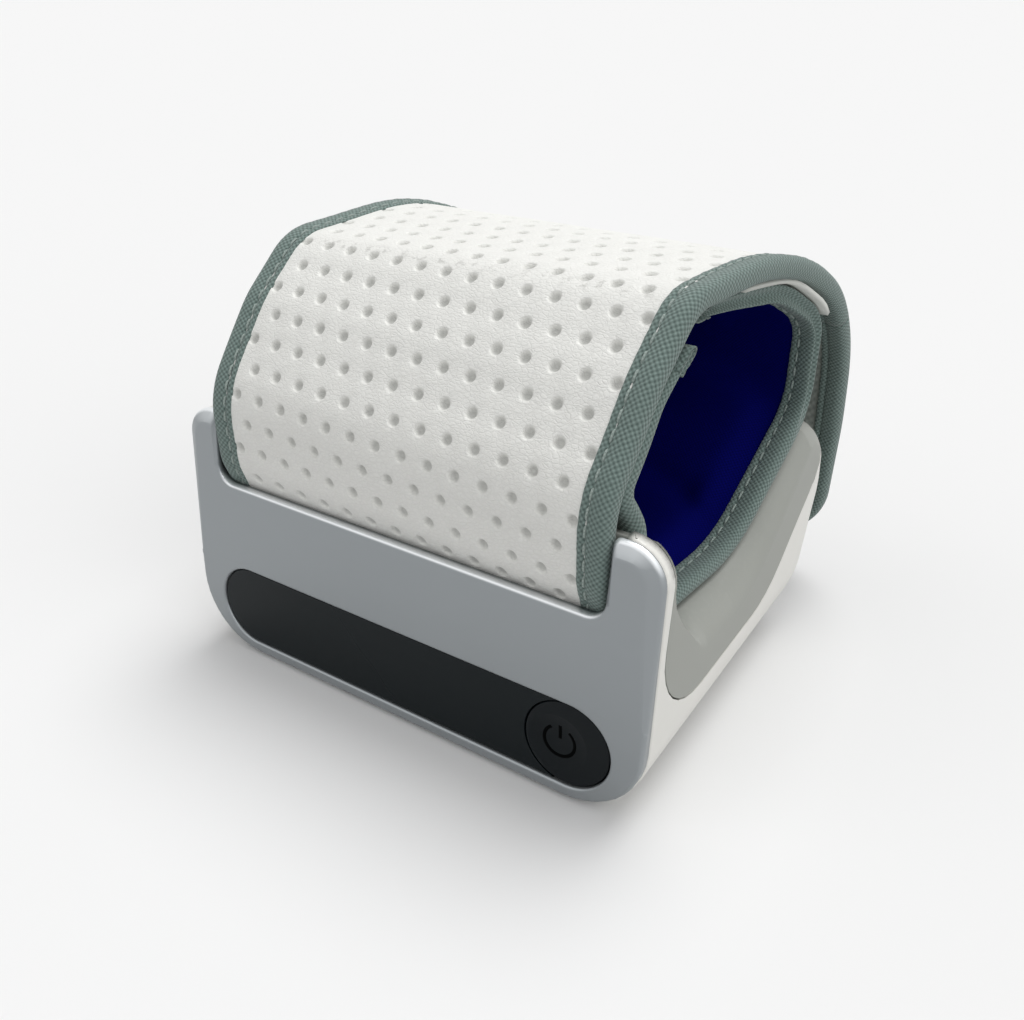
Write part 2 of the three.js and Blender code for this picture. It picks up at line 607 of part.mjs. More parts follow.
const buttonX = (SLOT_LENGTH - SLOT_HEIGHT) / 2;
const buttonRadius = SLOT_HEIGHT / 2 - BUTTON_GAP;
const switchBack = BOARD.depth - JOIN_GAP / 2;
const switchFace = switchBack - SWITCH.thickness;
const plungerTip = switchFace - SWITCH.plungerLength;
const windowEnds = [-SLOT_LENGTH / 2, buttonX - SLOT_HEIGHT / 2];
const displayX = (windowEnds[0] + windowEnds[1]) / 2;
const displayHalf = (windowEnds[1] - windowEnds[0]) / 2 - DISPLAY.margin;
const displayTop = SLOT_HEIGHT / 2 - DISPLAY.lip;
const chipX = displayX + CHIP.aside;
const chipFace = boardBack + JOIN_GAP / 2;
const sensorX = displayX + SENSOR.aside;
const sensorZ = SLOT_CENTRE + SENSOR.up;

function makePanel() {
  const top = BODY_HEIGHT / Math.cos(TILT);
  const outline = closed([
    corner(SIDE, top, earRadius),
    corner(NOTCH_HALF, top, EAR_CORNER),
    corner(NOTCH_HALF, NOTCH_HEIGHT, NOTCH_CORNER),
    corner(-NOTCH_HALF, NOTCH_HEIGHT, NOTCH_CORNER),
    corner(-NOTCH_HALF, top, EAR_CORNER),
    corner(-SIDE, top, earRadius),
    corner(-SIDE, PANEL_FOOT, CORNER_LOW),
    corner(SIDE, PANEL_FOOT, CORNER_LOW),
  ]);
  return alongY(outline, 0, PANEL_THICKNESS, [stadium(SLOT_LENGTH, SLOT_HEIGHT, 0, SLOT_CENTRE)]);
}

function makeWindow() {
  const slot = stadium(SLOT_LENGTH - 2 * BUTTON_GAP, SLOT_HEIGHT - 2 * BUTTON_GAP, 0, SLOT_CENTRE);
  const pane = alongY(slot, WINDOW_INSET, WINDOW_INSET + WINDOW_THICKNESS);
  const space = box(buttonX, FAR, -FAR, FAR, -FAR, FAR);
  return pane.subtract(bar('y', SLOT_HEIGHT, -FAR, FAR, buttonX, SLOT_CENTRE)).subtract(space);
}

// The button's body, sunk by a depth: a dished cap with a stem behind it
function buttonBody(sunk) {
  const face = WINDOW_INSET;
  const back = face + BUTTON_RIM;
  const stemEnd = plungerTip - BUTTON_TRAVEL - JOIN_GAP / 2;
  const profile = [
    v2(0, stemEnd), v2(BUTTON_STEM / 2, stemEnd), v2(BUTTON_STEM / 2, back), v2(buttonRadius, back),
    v2(buttonRadius, face + BUTTON_EDGE), v2(buttonRadius - BUTTON_EDGE, face),
  ];
  for (let k = 0; k <= DISH_RINGS; k += 1) {
    const share = 1 - k / DISH_RINGS;
    const depth = BUTTON_DISH * (1 - share * share);
    profile.push(v2((buttonRadius - BUTTON_LAND) * share, face + depth));
  }
  const lathe = new THREE.LatheGeometry(profile, BUTTON_SIDES);
  return solid(lathe.translate(buttonX, sunk, SLOT_CENTRE));
}

// The power sign: an open ring with a bar, cut to one depth all over the dish
function makeButton() {
  const half = SIGN_STROKE / 2;
  const open = THREE.MathUtils.degToRad(SIGN_OPENING / 2);
  const from = Math.PI / 2 + open;
  const to = Math.PI * 2.5 - open;
  const outline = new THREE.Shape();
  outline.absarc(0, 0, SIGN_RADIUS + half, from, to, false);
  outline.absarc(0, 0, SIGN_RADIUS - half, to, from, true);
  const reach = WINDOW_INSET + BUTTON_RIM;
  const settings = { depth: reach, bevelEnabled: false, curveSegments: SIGN_STEPS };
  const ring = new THREE.ExtrudeGeometry(outline, settings);
  ring.rotateX(Math.PI / 2).translate(buttonX, reach, SLOT_CENTRE);
  const signTop = SLOT_CENTRE + SIGN_RADIUS + SIGN_BAR_RISE;
  const stroke = box(buttonX - half, buttonX + half, 0, reach, SLOT_CENTRE, signTop);
  const sign = solid(ring).add(stroke).subtract(buttonBody(SIGN_DEPTH));
  return buttonBody(0).subtract(sign);
}

addPart('front_panel', makePanel(), looks.silver, leaning);
addPart('display_window', makeWindow(), looks.glass, leaning);
addPart('power_button', makeButton(), looks.button, leaning);
addPart('display_module', box(
  displayX - displayHalf, displayX + displayHalf,
  WINDOW_INSET + WINDOW_THICKNESS + JOIN_GAP, BOARD.depth - JOIN_GAP,
  SLOT_CENTRE - displayTop, SLOT_CENTRE + displayTop,
), looks.chip, leaning);

const boardHalf = SIDE - SHELL_WALL - BOARD.margin;
const boardLow = SHELL_WALL + JOIN_GAP + boardBack * Math.sin(TILT);
const boardTop = boardLow + BOARD.height;
const boardRadius = CORNER_LOW - SHELL_WALL;
addPart('main_board', alongY(closed([
  corner(boardHalf, boardTop, BOARD.corner),
  corner(-boardHalf, boardTop, BOARD.corner),
  corner(-boardHalf, boardLow, boardRadius),
  corner(boardHalf, boardLow, boardRadius),
]), BOARD.depth, boardBack), looks.board, leaning);
const switchBody = box(
  buttonX - SWITCH.side / 2, buttonX + SWITCH.side / 2, switchFace, switchBack,
  SLOT_CENTRE - SWITCH.side / 2, SLOT_CENTRE + SWITCH.side / 2,
);
const switchMiddle = (switchFace + switchBack) / 2;
const plunger = bar('y', SWITCH.plunger, plungerTip, switchMiddle, buttonX, SLOT_CENTRE);
addPart('button_switch', switchBody.add(plunger), looks.chip, leaning);
addPart('control_chip', box(
  chipX - CHIP.side / 2, chipX + CHIP.side / 2, chipFace, chipFace + CHIP.thickness,
  SLOT_CENTRE - CHIP.side / 2, SLOT_CENTRE + CHIP.side / 2,
), looks.chip, leaning);
addPart('pressure_sensor', box(
  sensorX - SENSOR.side / 2, sensorX + SENSOR.side / 2, chipFace, chipFace + SENSOR.thickness,
  sensorZ - SENSOR.side / 2, sensorZ + SENSOR.side / 2,
), looks.steel, leaning);

// Batteries, their contacts and tray
const cellHalf = CELL_LENGTH / 2 - CELL_CAP / 2;
[-1, 1].forEach((row, i) => {
  const y = cellY + (row * CELL_PITCH) / 2;
  const can = bar('x', CELL_DIAMETER, cellX - cellHalf, cellX + cellHalf, y, cellZ);
  const capEnds = [cellX, cellX - row * (cellHalf + CELL_CAP)].sort((a, b) => a - b);
  const cap = bar('x', CELL_CAP_DIAMETER, ...capEnds, y, cellZ);
  addPart(`battery_${i + 1}`, can.add(cap), looks.cell);
});
const contactReach = trayHalfY - JOIN_GAP;
[['left', -1], ['right', 1]].forEach(([name, end]) => {
  const middle = cellX + end * (trayHalfX - JOIN_GAP - CONTACT / 2);
  addPart(`battery_contact_${name}`, box(
    middle - CONTACT / 2, middle + CONTACT / 2, cellY - contactReach, cellY + contactReach,
    cellZ - CONTACT_HEIGHT / 2, cellZ + CONTACT_HEIGHT / 2,
  ), looks.steel);
});
const trayBlock = box(
  cellX - trayOuterX, cellX + trayOuterX, cellY - trayOuterY, cellY + trayOuterY, 0, trayRoof,
);
const trayHollow = box(
  cellX - trayHalfX, cellX + trayHalfX, cellY - trayHalfY, cellY + trayHalfY, 0, trayTop,
);
const insideShell = housingBlock(SHELL_WALL + JOIN_GAP);
addPart('battery_tray', trayBlock.intersect(insideShell).subtract(trayHollow), looks.black);

// Pump, valve, manifold and tubes
const pumpHead = bar('y', PUMP_HEAD_DIAMETER, pumpFront, headBack, pumpX, pumpZ);
addPart('pump_head', pumpHead, looks.black);
addPart('pump_motor', bar(
  'y', MOTOR_DIAMETER, headBack + JOIN_GAP, motorBack, pumpX, pumpZ,
), looks.steel);
const tubeRadius = TUBE_DIAMETER / 2;
const tubeZ = manifoldLow + MANIFOLD.height / 2;
const manifoldLeft = manifoldX - MANIFOLD.width / 2;
const manifoldRight = manifoldX + MANIFOLD.width / 2;
const manifoldFront = manifoldY - MANIFOLD.depth / 2;
const manifoldBack = manifoldY + MANIFOLD.depth / 2;
addPart('air_manifold', box(
  manifoldLeft, manifoldRight, manifoldFront, manifoldBack, manifoldLow, manifoldTop,
), looks.tube);
const valveFront = cellY + trayOuterY + JOIN_GAP;
const valveTop = tubeZ + tubeRadius + VALVE.rim;
addPart('release_valve', box(
  manifoldX - VALVE.width / 2, manifoldX + VALVE.width / 2, valveFront, valveFront + VALVE.depth,
  valveTop - VALVE.height, valveTop,
), looks.steel);
addPart('air_tube_valve', bar(
  'y', TUBE_DIAMETER, manifoldBack + JOIN_GAP, valveFront - JOIN_GAP, manifoldX, tubeZ,
), looks.tube);


// The tube to the sensor leaves both its ends straight along Y and bends between them
function sensorTube() {
  const start = new THREE.Vector3(manifoldX, manifoldFront - JOIN_GAP, tubeZ);
  const sensorBack = panelY(sensorZ, chipFace + SENSOR.thickness) + 2 * JOIN_GAP;
  const end = new THREE.Vector3(sensorX, sensorBack, sensorZ);
  const lead = new THREE.Vector3(0, TUBE_LEAD, 0);
  const curve = new THREE.CubicBezierCurve3(start, start.clone().sub(lead), end.clone().add(lead), end);
  const section = new THREE.Shape();
  section.absarc(0, 0, tubeRadius, 0, 2 * Math.PI, false);
  const settings = { steps: TUBE_STEPS, curveSegments: TUBE_SIDES / 2, bevelEnabled: false };
  return solid(new THREE.ExtrudeGeometry(section, { ...settings, extrudePath: curve }));
}
addPart('air_tube_sensor', sensorTube(), looks.tube);
const tubeLow = Math.max(0, tubeZ - pumpZ - tubeRadius);
const headLeft = pumpX - Math.sqrt((PUMP_HEAD_DIAMETER / 2) ** 2 - tubeLow ** 2);
addPart('air_tube_pump', bar(
  'x', TUBE_DIAMETER, manifoldRight + JOIN_GAP, headLeft - JOIN_GAP, manifoldY, tubeZ,
), looks.tube);

const bladderDepth = BINDING_TAPE + LAYER_GAP + CUFF_BACKING + LAYER_GAP;
const nippleTop = seatHeight + bladderDepth;
addPart('air_nipple', bar(
  'z', NIPPLE_DIAMETER, manifoldTop + JOIN_GAP, nippleTop, manifoldX, manifoldY,
), looks.tube);

// Screws
screwPlaces.forEach(([x, y], i) => {
  const seat = SCREW_SEAT - JOIN_GAP;
  const tip = TOWER_HEIGHT + SCREW_GRIP;
  const head = bar('z', SCREW_HEAD, seat - SCREW_HEAD_HEIGHT, seat, x, y);
  const shank = bar('z', SCREW_SHANK, seat - SCREW_HEAD_HEIGHT / 2, tip, x, y);
  addPart(`case_screw_${i + 1}`, head.add(shank), looks.steel);
});

// Layers of the strap and of the cuff, counted inward from the face of their bindings
const halfWidth = NOTCH_HALF - STRAP_SIDE_GAP;
const firstLayer = BINDING_TAPE + LAYER_GAP;
const layerHalf = halfWidth - firstLayer;
const formerDepth = firstLayer + SKIN + LAYER_GAP;
const liningDepth = formerDepth + STRAP_FORMER + LAYER_GAP;

// The space under a height, behind the cuff and in front of it
const below = (height, y0, y1) => box(-FAR, FAR, y0, y1, -FAR, height);
const belowTailHinge = (gap) => below(TAIL_HINGE_HEIGHT + gap, BACK - CUFF_BACK_INSET, FAR);
const belowStrapHinge = below(STRAP_HINGE_HEIGHT + LAYER_GAP / 2, -FAR, 0);
const onStrap = (shape) => shape.subtract(belowTailHinge(LAYER_GAP / 2)).subtract(belowStrapHinge);

// Tape folded round one edge of a band
function edgeTape(makeBand, thickness, side) {
  const edges = [side * halfWidth, side * (halfWidth - BINDING_WIDTH)].sort((a, b) => a - b);
  const grown = halfWidth - BINDING_TAPE;
  const inside = makeBand(BINDING_TAPE, thickness - BINDING_TAPE, -grown, grown, BINDING_WIDTH);
  return makeBand(0, thickness, ...edges).subtract(inside);
}

const strapLayer = (from, thick) => onStrap(strapBand(from, from + thick, -layerHalf, layerHalf));
const strapTape = (side) => onStrap(edgeTape(strapBand, strapThickness, side));
addPart('strap_skin', strapLayer(firstLayer, SKIN), looks.leatherette, drifting);
addPart('strap_former', strapLayer(formerDepth, STRAP_FORMER), looks.clear, drifting);
addPart('strap_lining', strapLayer(liningDepth, STRAP_LINING), looks.knit, drifting);
addPart('strap_binding_left', strapTape(-1), looks.tape, drifting);
addPart('strap_binding_right', strapTape(1), looks.tape, drifting);

// The tail's end has rounded corners, and its binding runs round them
function tailOutline(inset) {
  const half = halfWidth - inset;
  const low = TAIL_END_HEIGHT + inset;
  return alongY(closed([
    corner(half, ABOVE_ALL),
    corner(-half, ABOVE_ALL),
    corner(-half, low, TAIL_CORNER - inset),
    corner(half, low, TAIL_CORNER - inset),
  ]), -FAR, FAR);
}
function tailLayer(from, thick, inset) {
  const whole = strapBand(from, from + thick, -halfWidth, halfWidth);
  return whole.intersect(belowTailHinge(-LAYER_GAP / 2)).intersect(tailOutline(inset));
}
const tailBinding = tailLayer(0, strapThickness, 0)
  .subtract(tailLayer(BINDING_TAPE, strapThickness - 2 * BINDING_TAPE, BINDING_TAPE))
  .subtract(tailOutline(BINDING_WIDTH));
addPart('tail_skin', tailLayer(firstLayer, SKIN, firstLayer), looks.leatherette, drifting);
addPart('tail_former', tailLayer(formerDepth, STRAP_FORMER, firstLayer), looks.clear, drifting);
addPart('tail_hook_pad', tailLayer(liningDepth, STRAP_LINING, firstLayer), looks.knit, drifting);
addPart('tail_binding', tailBinding, looks.tape, drifting);

// The strap's root is held between the panel and the cradle's front wall
const rootFace = panelY(NOTCH_HEIGHT, PANEL_THICKNESS) + JOIN_GAP;
const rootBack = pocketBack - JOIN_GAP;
const rootTop = STRAP_HINGE_HEIGHT - LAYER_GAP / 2;
const rootHalf = Math.min(halfWidth, NOTCH_HALF - NOTCH_CORNER);
const rootTongue = box(-halfWidth, halfWidth, rootFace, rootBack, ROOT_LOW, rootTop);
const rootLip = box(-rootHalf, rootHalf, strapFace, rootBack, NOTCH_HEIGHT + JOIN_GAP, rootTop);
addPart('strap_root', rootTongue.add(rootLip), looks.tape);

// The cuff, with a hole in its backing for the air nipple
function cuffLayer(from, thick, margin) {
  return cuffBand(from, from + thick, -layerHalf + margin, layerHalf - margin);
}
const nippleDrift = CUFF_DRIFT * (manifoldY - strapFace);
const nippleWay = bar(
  'z', NIPPLE_DIAMETER + 2 * NIPPLE_CLEARANCE, 0, nippleTop + JOIN_GAP,
  manifoldX - nippleDrift, manifoldY,
);
const cuffBacking = cuffLayer(firstLayer, CUFF_BACKING, 0).subtract(nippleWay);
const cuffLiningDepth = bladderDepth + BLADDER + LAYER_GAP;
addPart('cuff_backing', cuffBacking, looks.knit, drifting);
addPart('air_bladder', cuffLayer(bladderDepth, BLADDER, BLADDER_MARGIN), looks.bladder, drifting);
addPart('cuff_lining', cuffLayer(cuffLiningDepth, CUFF_LINING, 0), looks.navy, drifting);
addPart('cuff_binding_left', edgeTape(cuffBand, cuffThickness, -1), looks.tape, drifting);
addPart('cuff_binding_right', edgeTape(cuffBand, cuffThickness, 1), looks.tape, drifting);
const aboveBackWall = box(-FAR, FAR, 0, FAR, BACK_WALL_TOP + JOIN_GAP, FAR);
const formerBand = cuffBand(-LAYER_GAP - CUFF_FORMER, -LAYER_GAP, -halfWidth, halfWidth);
addPart('cuff_former', formerBand.intersect(aboveBackWall), looks.clear, drifting);

// Middle of the whole object's box over the origin
const reach = new THREE.Box3().setFromObject(device);
device.position.y = -(reach.min.y + reach.max.y) / 2;

const monitor = new THREE.Group();
monitor.add(device);
export default monitor;
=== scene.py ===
"""Looks of the wrist blood pressure monitor: its soft goods, panel, button and finishes.

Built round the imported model, in its frame. Sizes below are millimetres, and MM scales them to
metres as each object is made. In the side view a point is (y, z). On the strap and the cuff a
point is (x, s, d): x across, s along from the front end, d inward from the outer face.
"""
import json
import math

import bmesh
import bpy
import numpy as np
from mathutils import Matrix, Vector, noise
from mathutils.bvhtree import BVHTree
from mathutils.geometry import tessellate_polygon

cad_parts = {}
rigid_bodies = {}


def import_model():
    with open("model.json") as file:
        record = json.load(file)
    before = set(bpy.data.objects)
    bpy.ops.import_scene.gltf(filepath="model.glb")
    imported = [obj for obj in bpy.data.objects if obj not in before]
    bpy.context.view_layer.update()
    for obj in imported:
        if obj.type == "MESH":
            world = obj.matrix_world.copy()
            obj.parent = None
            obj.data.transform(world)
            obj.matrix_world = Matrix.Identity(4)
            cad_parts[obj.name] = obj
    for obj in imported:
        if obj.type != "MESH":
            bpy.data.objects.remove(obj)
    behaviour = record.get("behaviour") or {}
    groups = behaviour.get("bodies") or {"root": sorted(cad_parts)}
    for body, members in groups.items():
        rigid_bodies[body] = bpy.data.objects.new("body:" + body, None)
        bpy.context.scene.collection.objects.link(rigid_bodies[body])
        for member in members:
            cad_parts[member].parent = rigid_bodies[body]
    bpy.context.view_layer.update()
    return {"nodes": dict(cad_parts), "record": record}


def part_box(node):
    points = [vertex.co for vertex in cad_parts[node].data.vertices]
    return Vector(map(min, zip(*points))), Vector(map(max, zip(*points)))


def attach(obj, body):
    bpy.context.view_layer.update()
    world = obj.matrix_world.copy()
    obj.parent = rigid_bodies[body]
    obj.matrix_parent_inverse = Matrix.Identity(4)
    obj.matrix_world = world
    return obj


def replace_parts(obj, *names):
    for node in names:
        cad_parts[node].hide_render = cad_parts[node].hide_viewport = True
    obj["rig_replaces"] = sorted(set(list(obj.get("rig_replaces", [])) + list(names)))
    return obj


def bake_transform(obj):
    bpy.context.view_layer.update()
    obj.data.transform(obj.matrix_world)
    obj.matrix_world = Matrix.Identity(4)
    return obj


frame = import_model()
MM = 0.001

# Housing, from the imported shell
SHELL_LOW, SHELL_HIGH = [np.array(place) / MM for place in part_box("main_shell")]
SIDE, BACK, TOP = SHELL_HIGH
BODY_DEPTH = 73.0
FRONT = BACK - BODY_DEPTH

# Front panel
TILT = math.radians(3.0)
PANEL_THICKNESS = 1.8
PANEL_FOOT = 0.8
EAR_WIDTH = 7.0
NOTCH_HALF = SIDE - EAR_WIDTH
NOTCH_HEIGHT = TOP - 12.6
NOTCH_CORNER = 3.0
CORNER_LOW = 12.5
CORNER_HIGH = 5.9
SLOT_LENGTH = 2 * SIDE - 10.0
SLOT_HEIGHT = 15.0
SLOT_CENTRE = 10.3
WINDOW_INSET = 0.4
WINDOW_THICKNESS = 1.2
BUTTON_GAP = 0.2

# Strap and cuff
CUFF_DRIFT = 0.0926  # mm to the side for each mm back
STRAP_CENTRE = -0.6
HALF_WIDTH = 37.2
STRAP_THICKNESS = 3.5
CUFF_THICKNESS = 3.0
STRAP_HINGE_HEIGHT = NOTCH_HEIGHT + 2.1
TAIL_HINGE_HEIGHT = TOP + 5.0
TAIL_START_HEIGHT = TAIL_HINGE_HEIGHT + 6.0  # the strap's pieces end here and the tail's start
TAIL_END_HEIGHT = 8.0
TAIL_CORNER = 11.0
STRAP_FACE = FRONT + NOTCH_HEIGHT * math.tan(TILT) + 0.5
STRAP_TUCK = 1.7  # back from that face, where the strap goes behind the panel

# Folded tapes and their stitches
BINDING_WIDTH = 4.6  # on the outer face
BINDING_TAPE = 0.45
TAPE_STEP = 1.0  # between sections along a tape
TAPE_PUCKER = 0.05  # rise and fall from stitch to stitch
TAPE_RUMPLE = 0.14  # unevenness of the folded legs
RUMPLE_SIZE = 6.0
TAPE_SWAY = 0.12  # of the whole tape, in and out
SWAY_SIZE = 17.0
RUMPLE_ROUND = 0.25  # rumples are longer round the tape than along it
HOLLOW_FADES = (0.8, 2.4)  # a hollow in the fold fades out over this, inward from the fold
LEG_STARTS = (0.3, 1.5)  # a folded leg begins over this, inward from the fold
END_TAPE_OVER = 0.15  # a tape across an end lies this far outside the tapes along the edges
STITCH_LENGTH = 2.1
STITCH_PITCH = 2.7
STITCH_RADIUS = 0.2
STITCH_INSET = 3.3  # from the tape's fold
STITCH_LIE = 0.2  # depth of a stitch's middle
STITCH_DIVE = 0.3  # its ends are this much deeper

# Dimpled skin: staggered rows of tiles with one dimple each
DIMPLE_PITCH = 4.88
DIMPLE_CLEAR = 0.7  # least from a dimple's middle to the tape
ROW_PITCH = 4.75
DIMPLES_ACROSS = 14
DIMPLE_PROFILE = [(1.25, 0.0), (1.08, 0.04), (0.97, 0.17), (0.82, 0.42), (0.58, 0.69), (0.3, 0.82)]
ROW_TILT = 0.055  # mm along for each mm across
SKIN_DEPTH = 0.45
SKIN_THICKNESS = 0.95
SKIN_SWELLS = [(0.16, 16.0, 3.0), (0.05, 5.0, 8.0)]  # height, size and seed of its unevenness
SKIN_HALF = DIMPLES_ACROSS * DIMPLE_PITCH / 2
SKIN_COVERED = HALF_WIDTH - SKIN_HALF  # from the fold to the skin's edge, under the binding


# Paths in the side view

ARC_POINTS = 24  # on each rounded corner
LINE_POINTS = 40  # on each straight stretch


def corner(y, z, radius=0.0):
    """A corner of a path: where it would be if it were sharp, and its radius."""
    return np.array([y, z], float), radius


def trace(corners):
    """Points along a path with rounded corners."""
    points = []
    last = corners[0][0]
    for i in range(1, len(corners) - 1):
        place, radius = corners[i]
        into = place - corners[i - 1][0]
        out = corners[i + 1][0] - place
        into = into / np.linalg.norm(into)
        out = out / np.linalg.norm(out)
        turn = math.atan2(into[0] * out[1] - into[1] * out[0], into @ out)
        tangent = radius * math.tan(abs(turn) / 2)
        start = place - into * tangent
        centre = start + np.array([-into[1], into[0]]) * radius * np.sign(turn)
        shares = np.arange(LINE_POINTS)[:, None] / LINE_POINTS
        points.append(last + (start - last) * shares)
        angles = turn * np.arange(ARC_POINTS + 1) / ARC_POINTS
        spoke = start - centre
        arc = np.stack([
            centre[0] + np.cos(angles) * spoke[0] - np.sin(angles) * spoke[1],
            centre[1] + np.sin(angles) * spoke[0] + np.cos(angles) * spoke[1],
        ], axis=1)
        points.append(arc[:-1])
        last = arc[-1]
    shares = np.arange(LINE_POINTS + 1)[:, None] / LINE_POINTS
    points.append(last + (corners[-1][0] - last) * shares)
    return np.concatenate(points)


def smooth_step(value, low, high):
    """0 below low, 1 above high, and a smooth rise between them."""
    share = np.clip((value - low) / (high - low), 0, 1)
    return share * share * (3 - 2 * share)


def lengths_along(points):
    """How far along a line each of its points is."""
    return np.concatenate([[0], np.cumsum(np.linalg.norm(np.diff(points, axis=0), axis=1))])


class Band:
    """A flexible strip that follows a path in the side view.

    Pinched stretches get thinner: where thin, where full, share left. Stretches that go aside
    move to the right: from, to, how far. One leaning stretch is higher to the right: from, to,
    rise for each millimetre across. A place below 0 counts from the far end.
    """

    spacing = 0.25
    normal_blur = 2.2  # mm over which the inward direction is evened out

    def __init__(self, corners, inward, pinched=(), aside=(), leaning=None):
        self.pinched = pinched
        self.aside = aside
        self.leaning = leaning
        line = trace(corners)
        along = lengths_along(line)
        self.length = along[-1]
        self.s = np.arange(0, self.length + self.spacing / 2, self.spacing)
        self.line = np.stack([np.interp(self.s, along, line[:, k]) for k in (0, 1)], 1)
        way = np.gradient(self.line, axis=0)
        normal = inward * np.stack([-way[:, 1], way[:, 0]], 1)
        self.inward = self.evened(normal / np.linalg.norm(normal, axis=1)[:, None])

    def evened(self, normal):
        """Directions along the band, each evened out with its neighbours."""
        reach = int(3 * self.normal_blur / self.spacing)
        weights = np.exp(-0.5 * (np.arange(-reach, reach + 1) * self.spacing / self.normal_blur) ** 2)
        weights /= weights.sum()
        padded = np.pad(normal, ((reach, reach), (0, 0)), mode="edge")
        soft = np.stack([np.convolve(padded[:, k], weights, mode="valid") for k in (0, 1)], 1)
        return soft / np.linalg.norm(soft, axis=1)[:, None]

    def point(self, x, s, d):
        """Places of points across, along and into the band, drifting sideways as they go back."""
        x, s, d = np.broadcast_arrays(np.asarray(x, float), s, d)
        for low, high, share_left in self.pinched:
            full = smooth_step(s, self.along(low), self.along(high))
            d = d * (share_left + (1 - share_left) * full)
        y, z = [np.interp(s, self.s, self.line[:, k]) + np.interp(s, self.s, self.inward[:, k]) * d
                for k in (0, 1)]
        if self.leaning:
            low, high, rise = self.leaning
            middle = (low + high) / 2
            z = z + rise * x * smooth_step(s, low, middle) * (1 - smooth_step(s, middle, high))
        x = STRAP_CENTRE + x + CUFF_DRIFT * (y - STRAP_FACE)
        for low, high, far in self.aside:
            x = x + far * smooth_step(s, self.along(low), self.along(high))
        return np.stack([x, y, z], axis=-1)

    def along(self, place):
        """A place along the band, where one below 0 counts from the far end."""
        return place if place >= 0 else self.length + place

    def s_at_height(self, height, behind):
        """Where along the band it is at a height, on its front or its back stretch."""
        top = int(np.argmax(self.line[:, 1]))
        part = slice(top, None) if behind else slice(0, top)
        nearest = int(np.argmin(np.abs(self.line[part, 1] - height)))
        return self.s[part][nearest]


CREST = (STRAP_FACE + 19.0, TOP + 27.6)  # the fold at the strap's top
STRAP = Band([
    corner(STRAP_FACE + STRAP_TUCK, NOTCH_HEIGHT - 6.0),
    corner(STRAP_FACE + STRAP_TUCK, NOTCH_HEIGHT - 0.8, 6.0),
    corner(STRAP_FACE, STRAP_HINGE_HEIGHT + 1.8, 8.0),
    corner(STRAP_FACE - 0.4, TOP + 4.0, 16.0),
    corner(STRAP_FACE + 9.5, TOP + 18.3, 22.0),
    corner(*CREST, 11.0),
    corner(BACK - 19.5, TOP + 28.3, 58.0),
    corner(BACK + 9.8, TOP + 12.0, 32.0),
    corner(BACK + 13.0, TOP - 12.5, 40.0),
    corner(BACK + 11.5, TAIL_END_HEIGHT),
], -1, pinched=[(5.0, 13.0, 0.7)], leaning=(28.0, 84.0, 0.022))
TAIL_START = STRAP.s_at_height(TAIL_START_HEIGHT, behind=True)
CREASE_PLACE = STRAP.s[int(np.argmin(np.abs(STRAP.line - CREST).sum(1)))]

CUFF_FRONT = STRAP_FACE + STRAP_THICKNESS  # above the cradle's front wall
CUFF_SEAT_FRONT = STRAP_FACE + 6.8  # inside that wall
CUFF_THIN_ENDS = [(0.0, 18.0, 0.45), (-0.1, -22.0, 0.55)]
CUFF_ASIDE = [(22.0, 38.0, 1.3), (-42.0, -12.0, -5.0)]
CUFF = Band([
    corner(CUFF_FRONT + 15.6, TOP + 21.4),
    corner(CUFF_FRONT + 7.6, TOP + 15.6, 11.0),
    corner(CUFF_FRONT + 0.5, TOP + 5.4, 4.5),
    corner(CUFF_FRONT + 0.6, TOP + 2.8, 3.0),
    corner(CUFF_SEAT_FRONT, TOP - 2.2, 5.0),
    corner(CUFF_SEAT_FRONT, TOP - 21.0, 12.7),
    corner(BACK - 32.8, TOP - 21.0, 23.7),
    corner(BACK - 8.2, TOP - 2.94, 12.0),
    corner(BACK - 8.2, TOP + 14.53, 9.0),
    corner(BACK - 19.0, TOP + 21.8, 14.0),
    corner(BACK - 45.0, TOP + 23.3),
], 1, pinched=CUFF_THIN_ENDS, aside=CUFF_ASIDE)


# Meshes

LAYER_STEP = 1.7  # between the points of a plain sheet
SWELL_SIZE = 14.0


class Soup:
    """Points and faces of one piece, gathered part by part, with each point's place in its cloth."""

    def __init__(self):
        self.points = []
        self.lay = []
        self.faces = []
        self.shares = []

    def add(self, points, faces, lay=None, share=0):
        """Adds a part, whose faces have the material with the number of its share."""
        start = len(self.points)
        points = np.asarray(points, float).reshape(-1, 3)
        lay = points if lay is None else np.asarray(lay, float).reshape(-1, 3)
        self.points.extend(points.tolist())
        self.lay.extend(lay.tolist())
        self.faces.extend([tuple(start + k for k in face) for face in faces])
        self.shares.extend([share] * len(faces))

    def piece(self, name, *materials):
        """The gathered mesh as an object, scaled to metres."""
        mesh = bpy.data.meshes.new(name)
        mesh.from_pydata((np.array(self.points) * MM).tolist(), [], self.faces)
        for material in materials:
            mesh.materials.append(material)
        mesh.polygons.foreach_set("material_index", self.shares)
        mesh.shade_smooth()
        place = mesh.attributes.new("lay", "FLOAT_VECTOR", "POINT")
        place.data.foreach_set("vector", np.array(self.lay, np.float32).ravel())
        made = placed(name, mesh)
        turn_outward(made)
        return made


def placed(name, data):
    """A new object in the scene."""
    made = bpy.data.objects.new(name, data)
    bpy.context.scene.collection.objects.link(made)
    return made


def turn_outward(piece):
    """Makes all faces of a closed mesh look outward."""
    made = bmesh.new()
    made.from_mesh(piece.data)
    bmesh.ops.recalc_face_normals(made, faces=made.faces)
    made.to_mesh(piece.data)
    made.free()


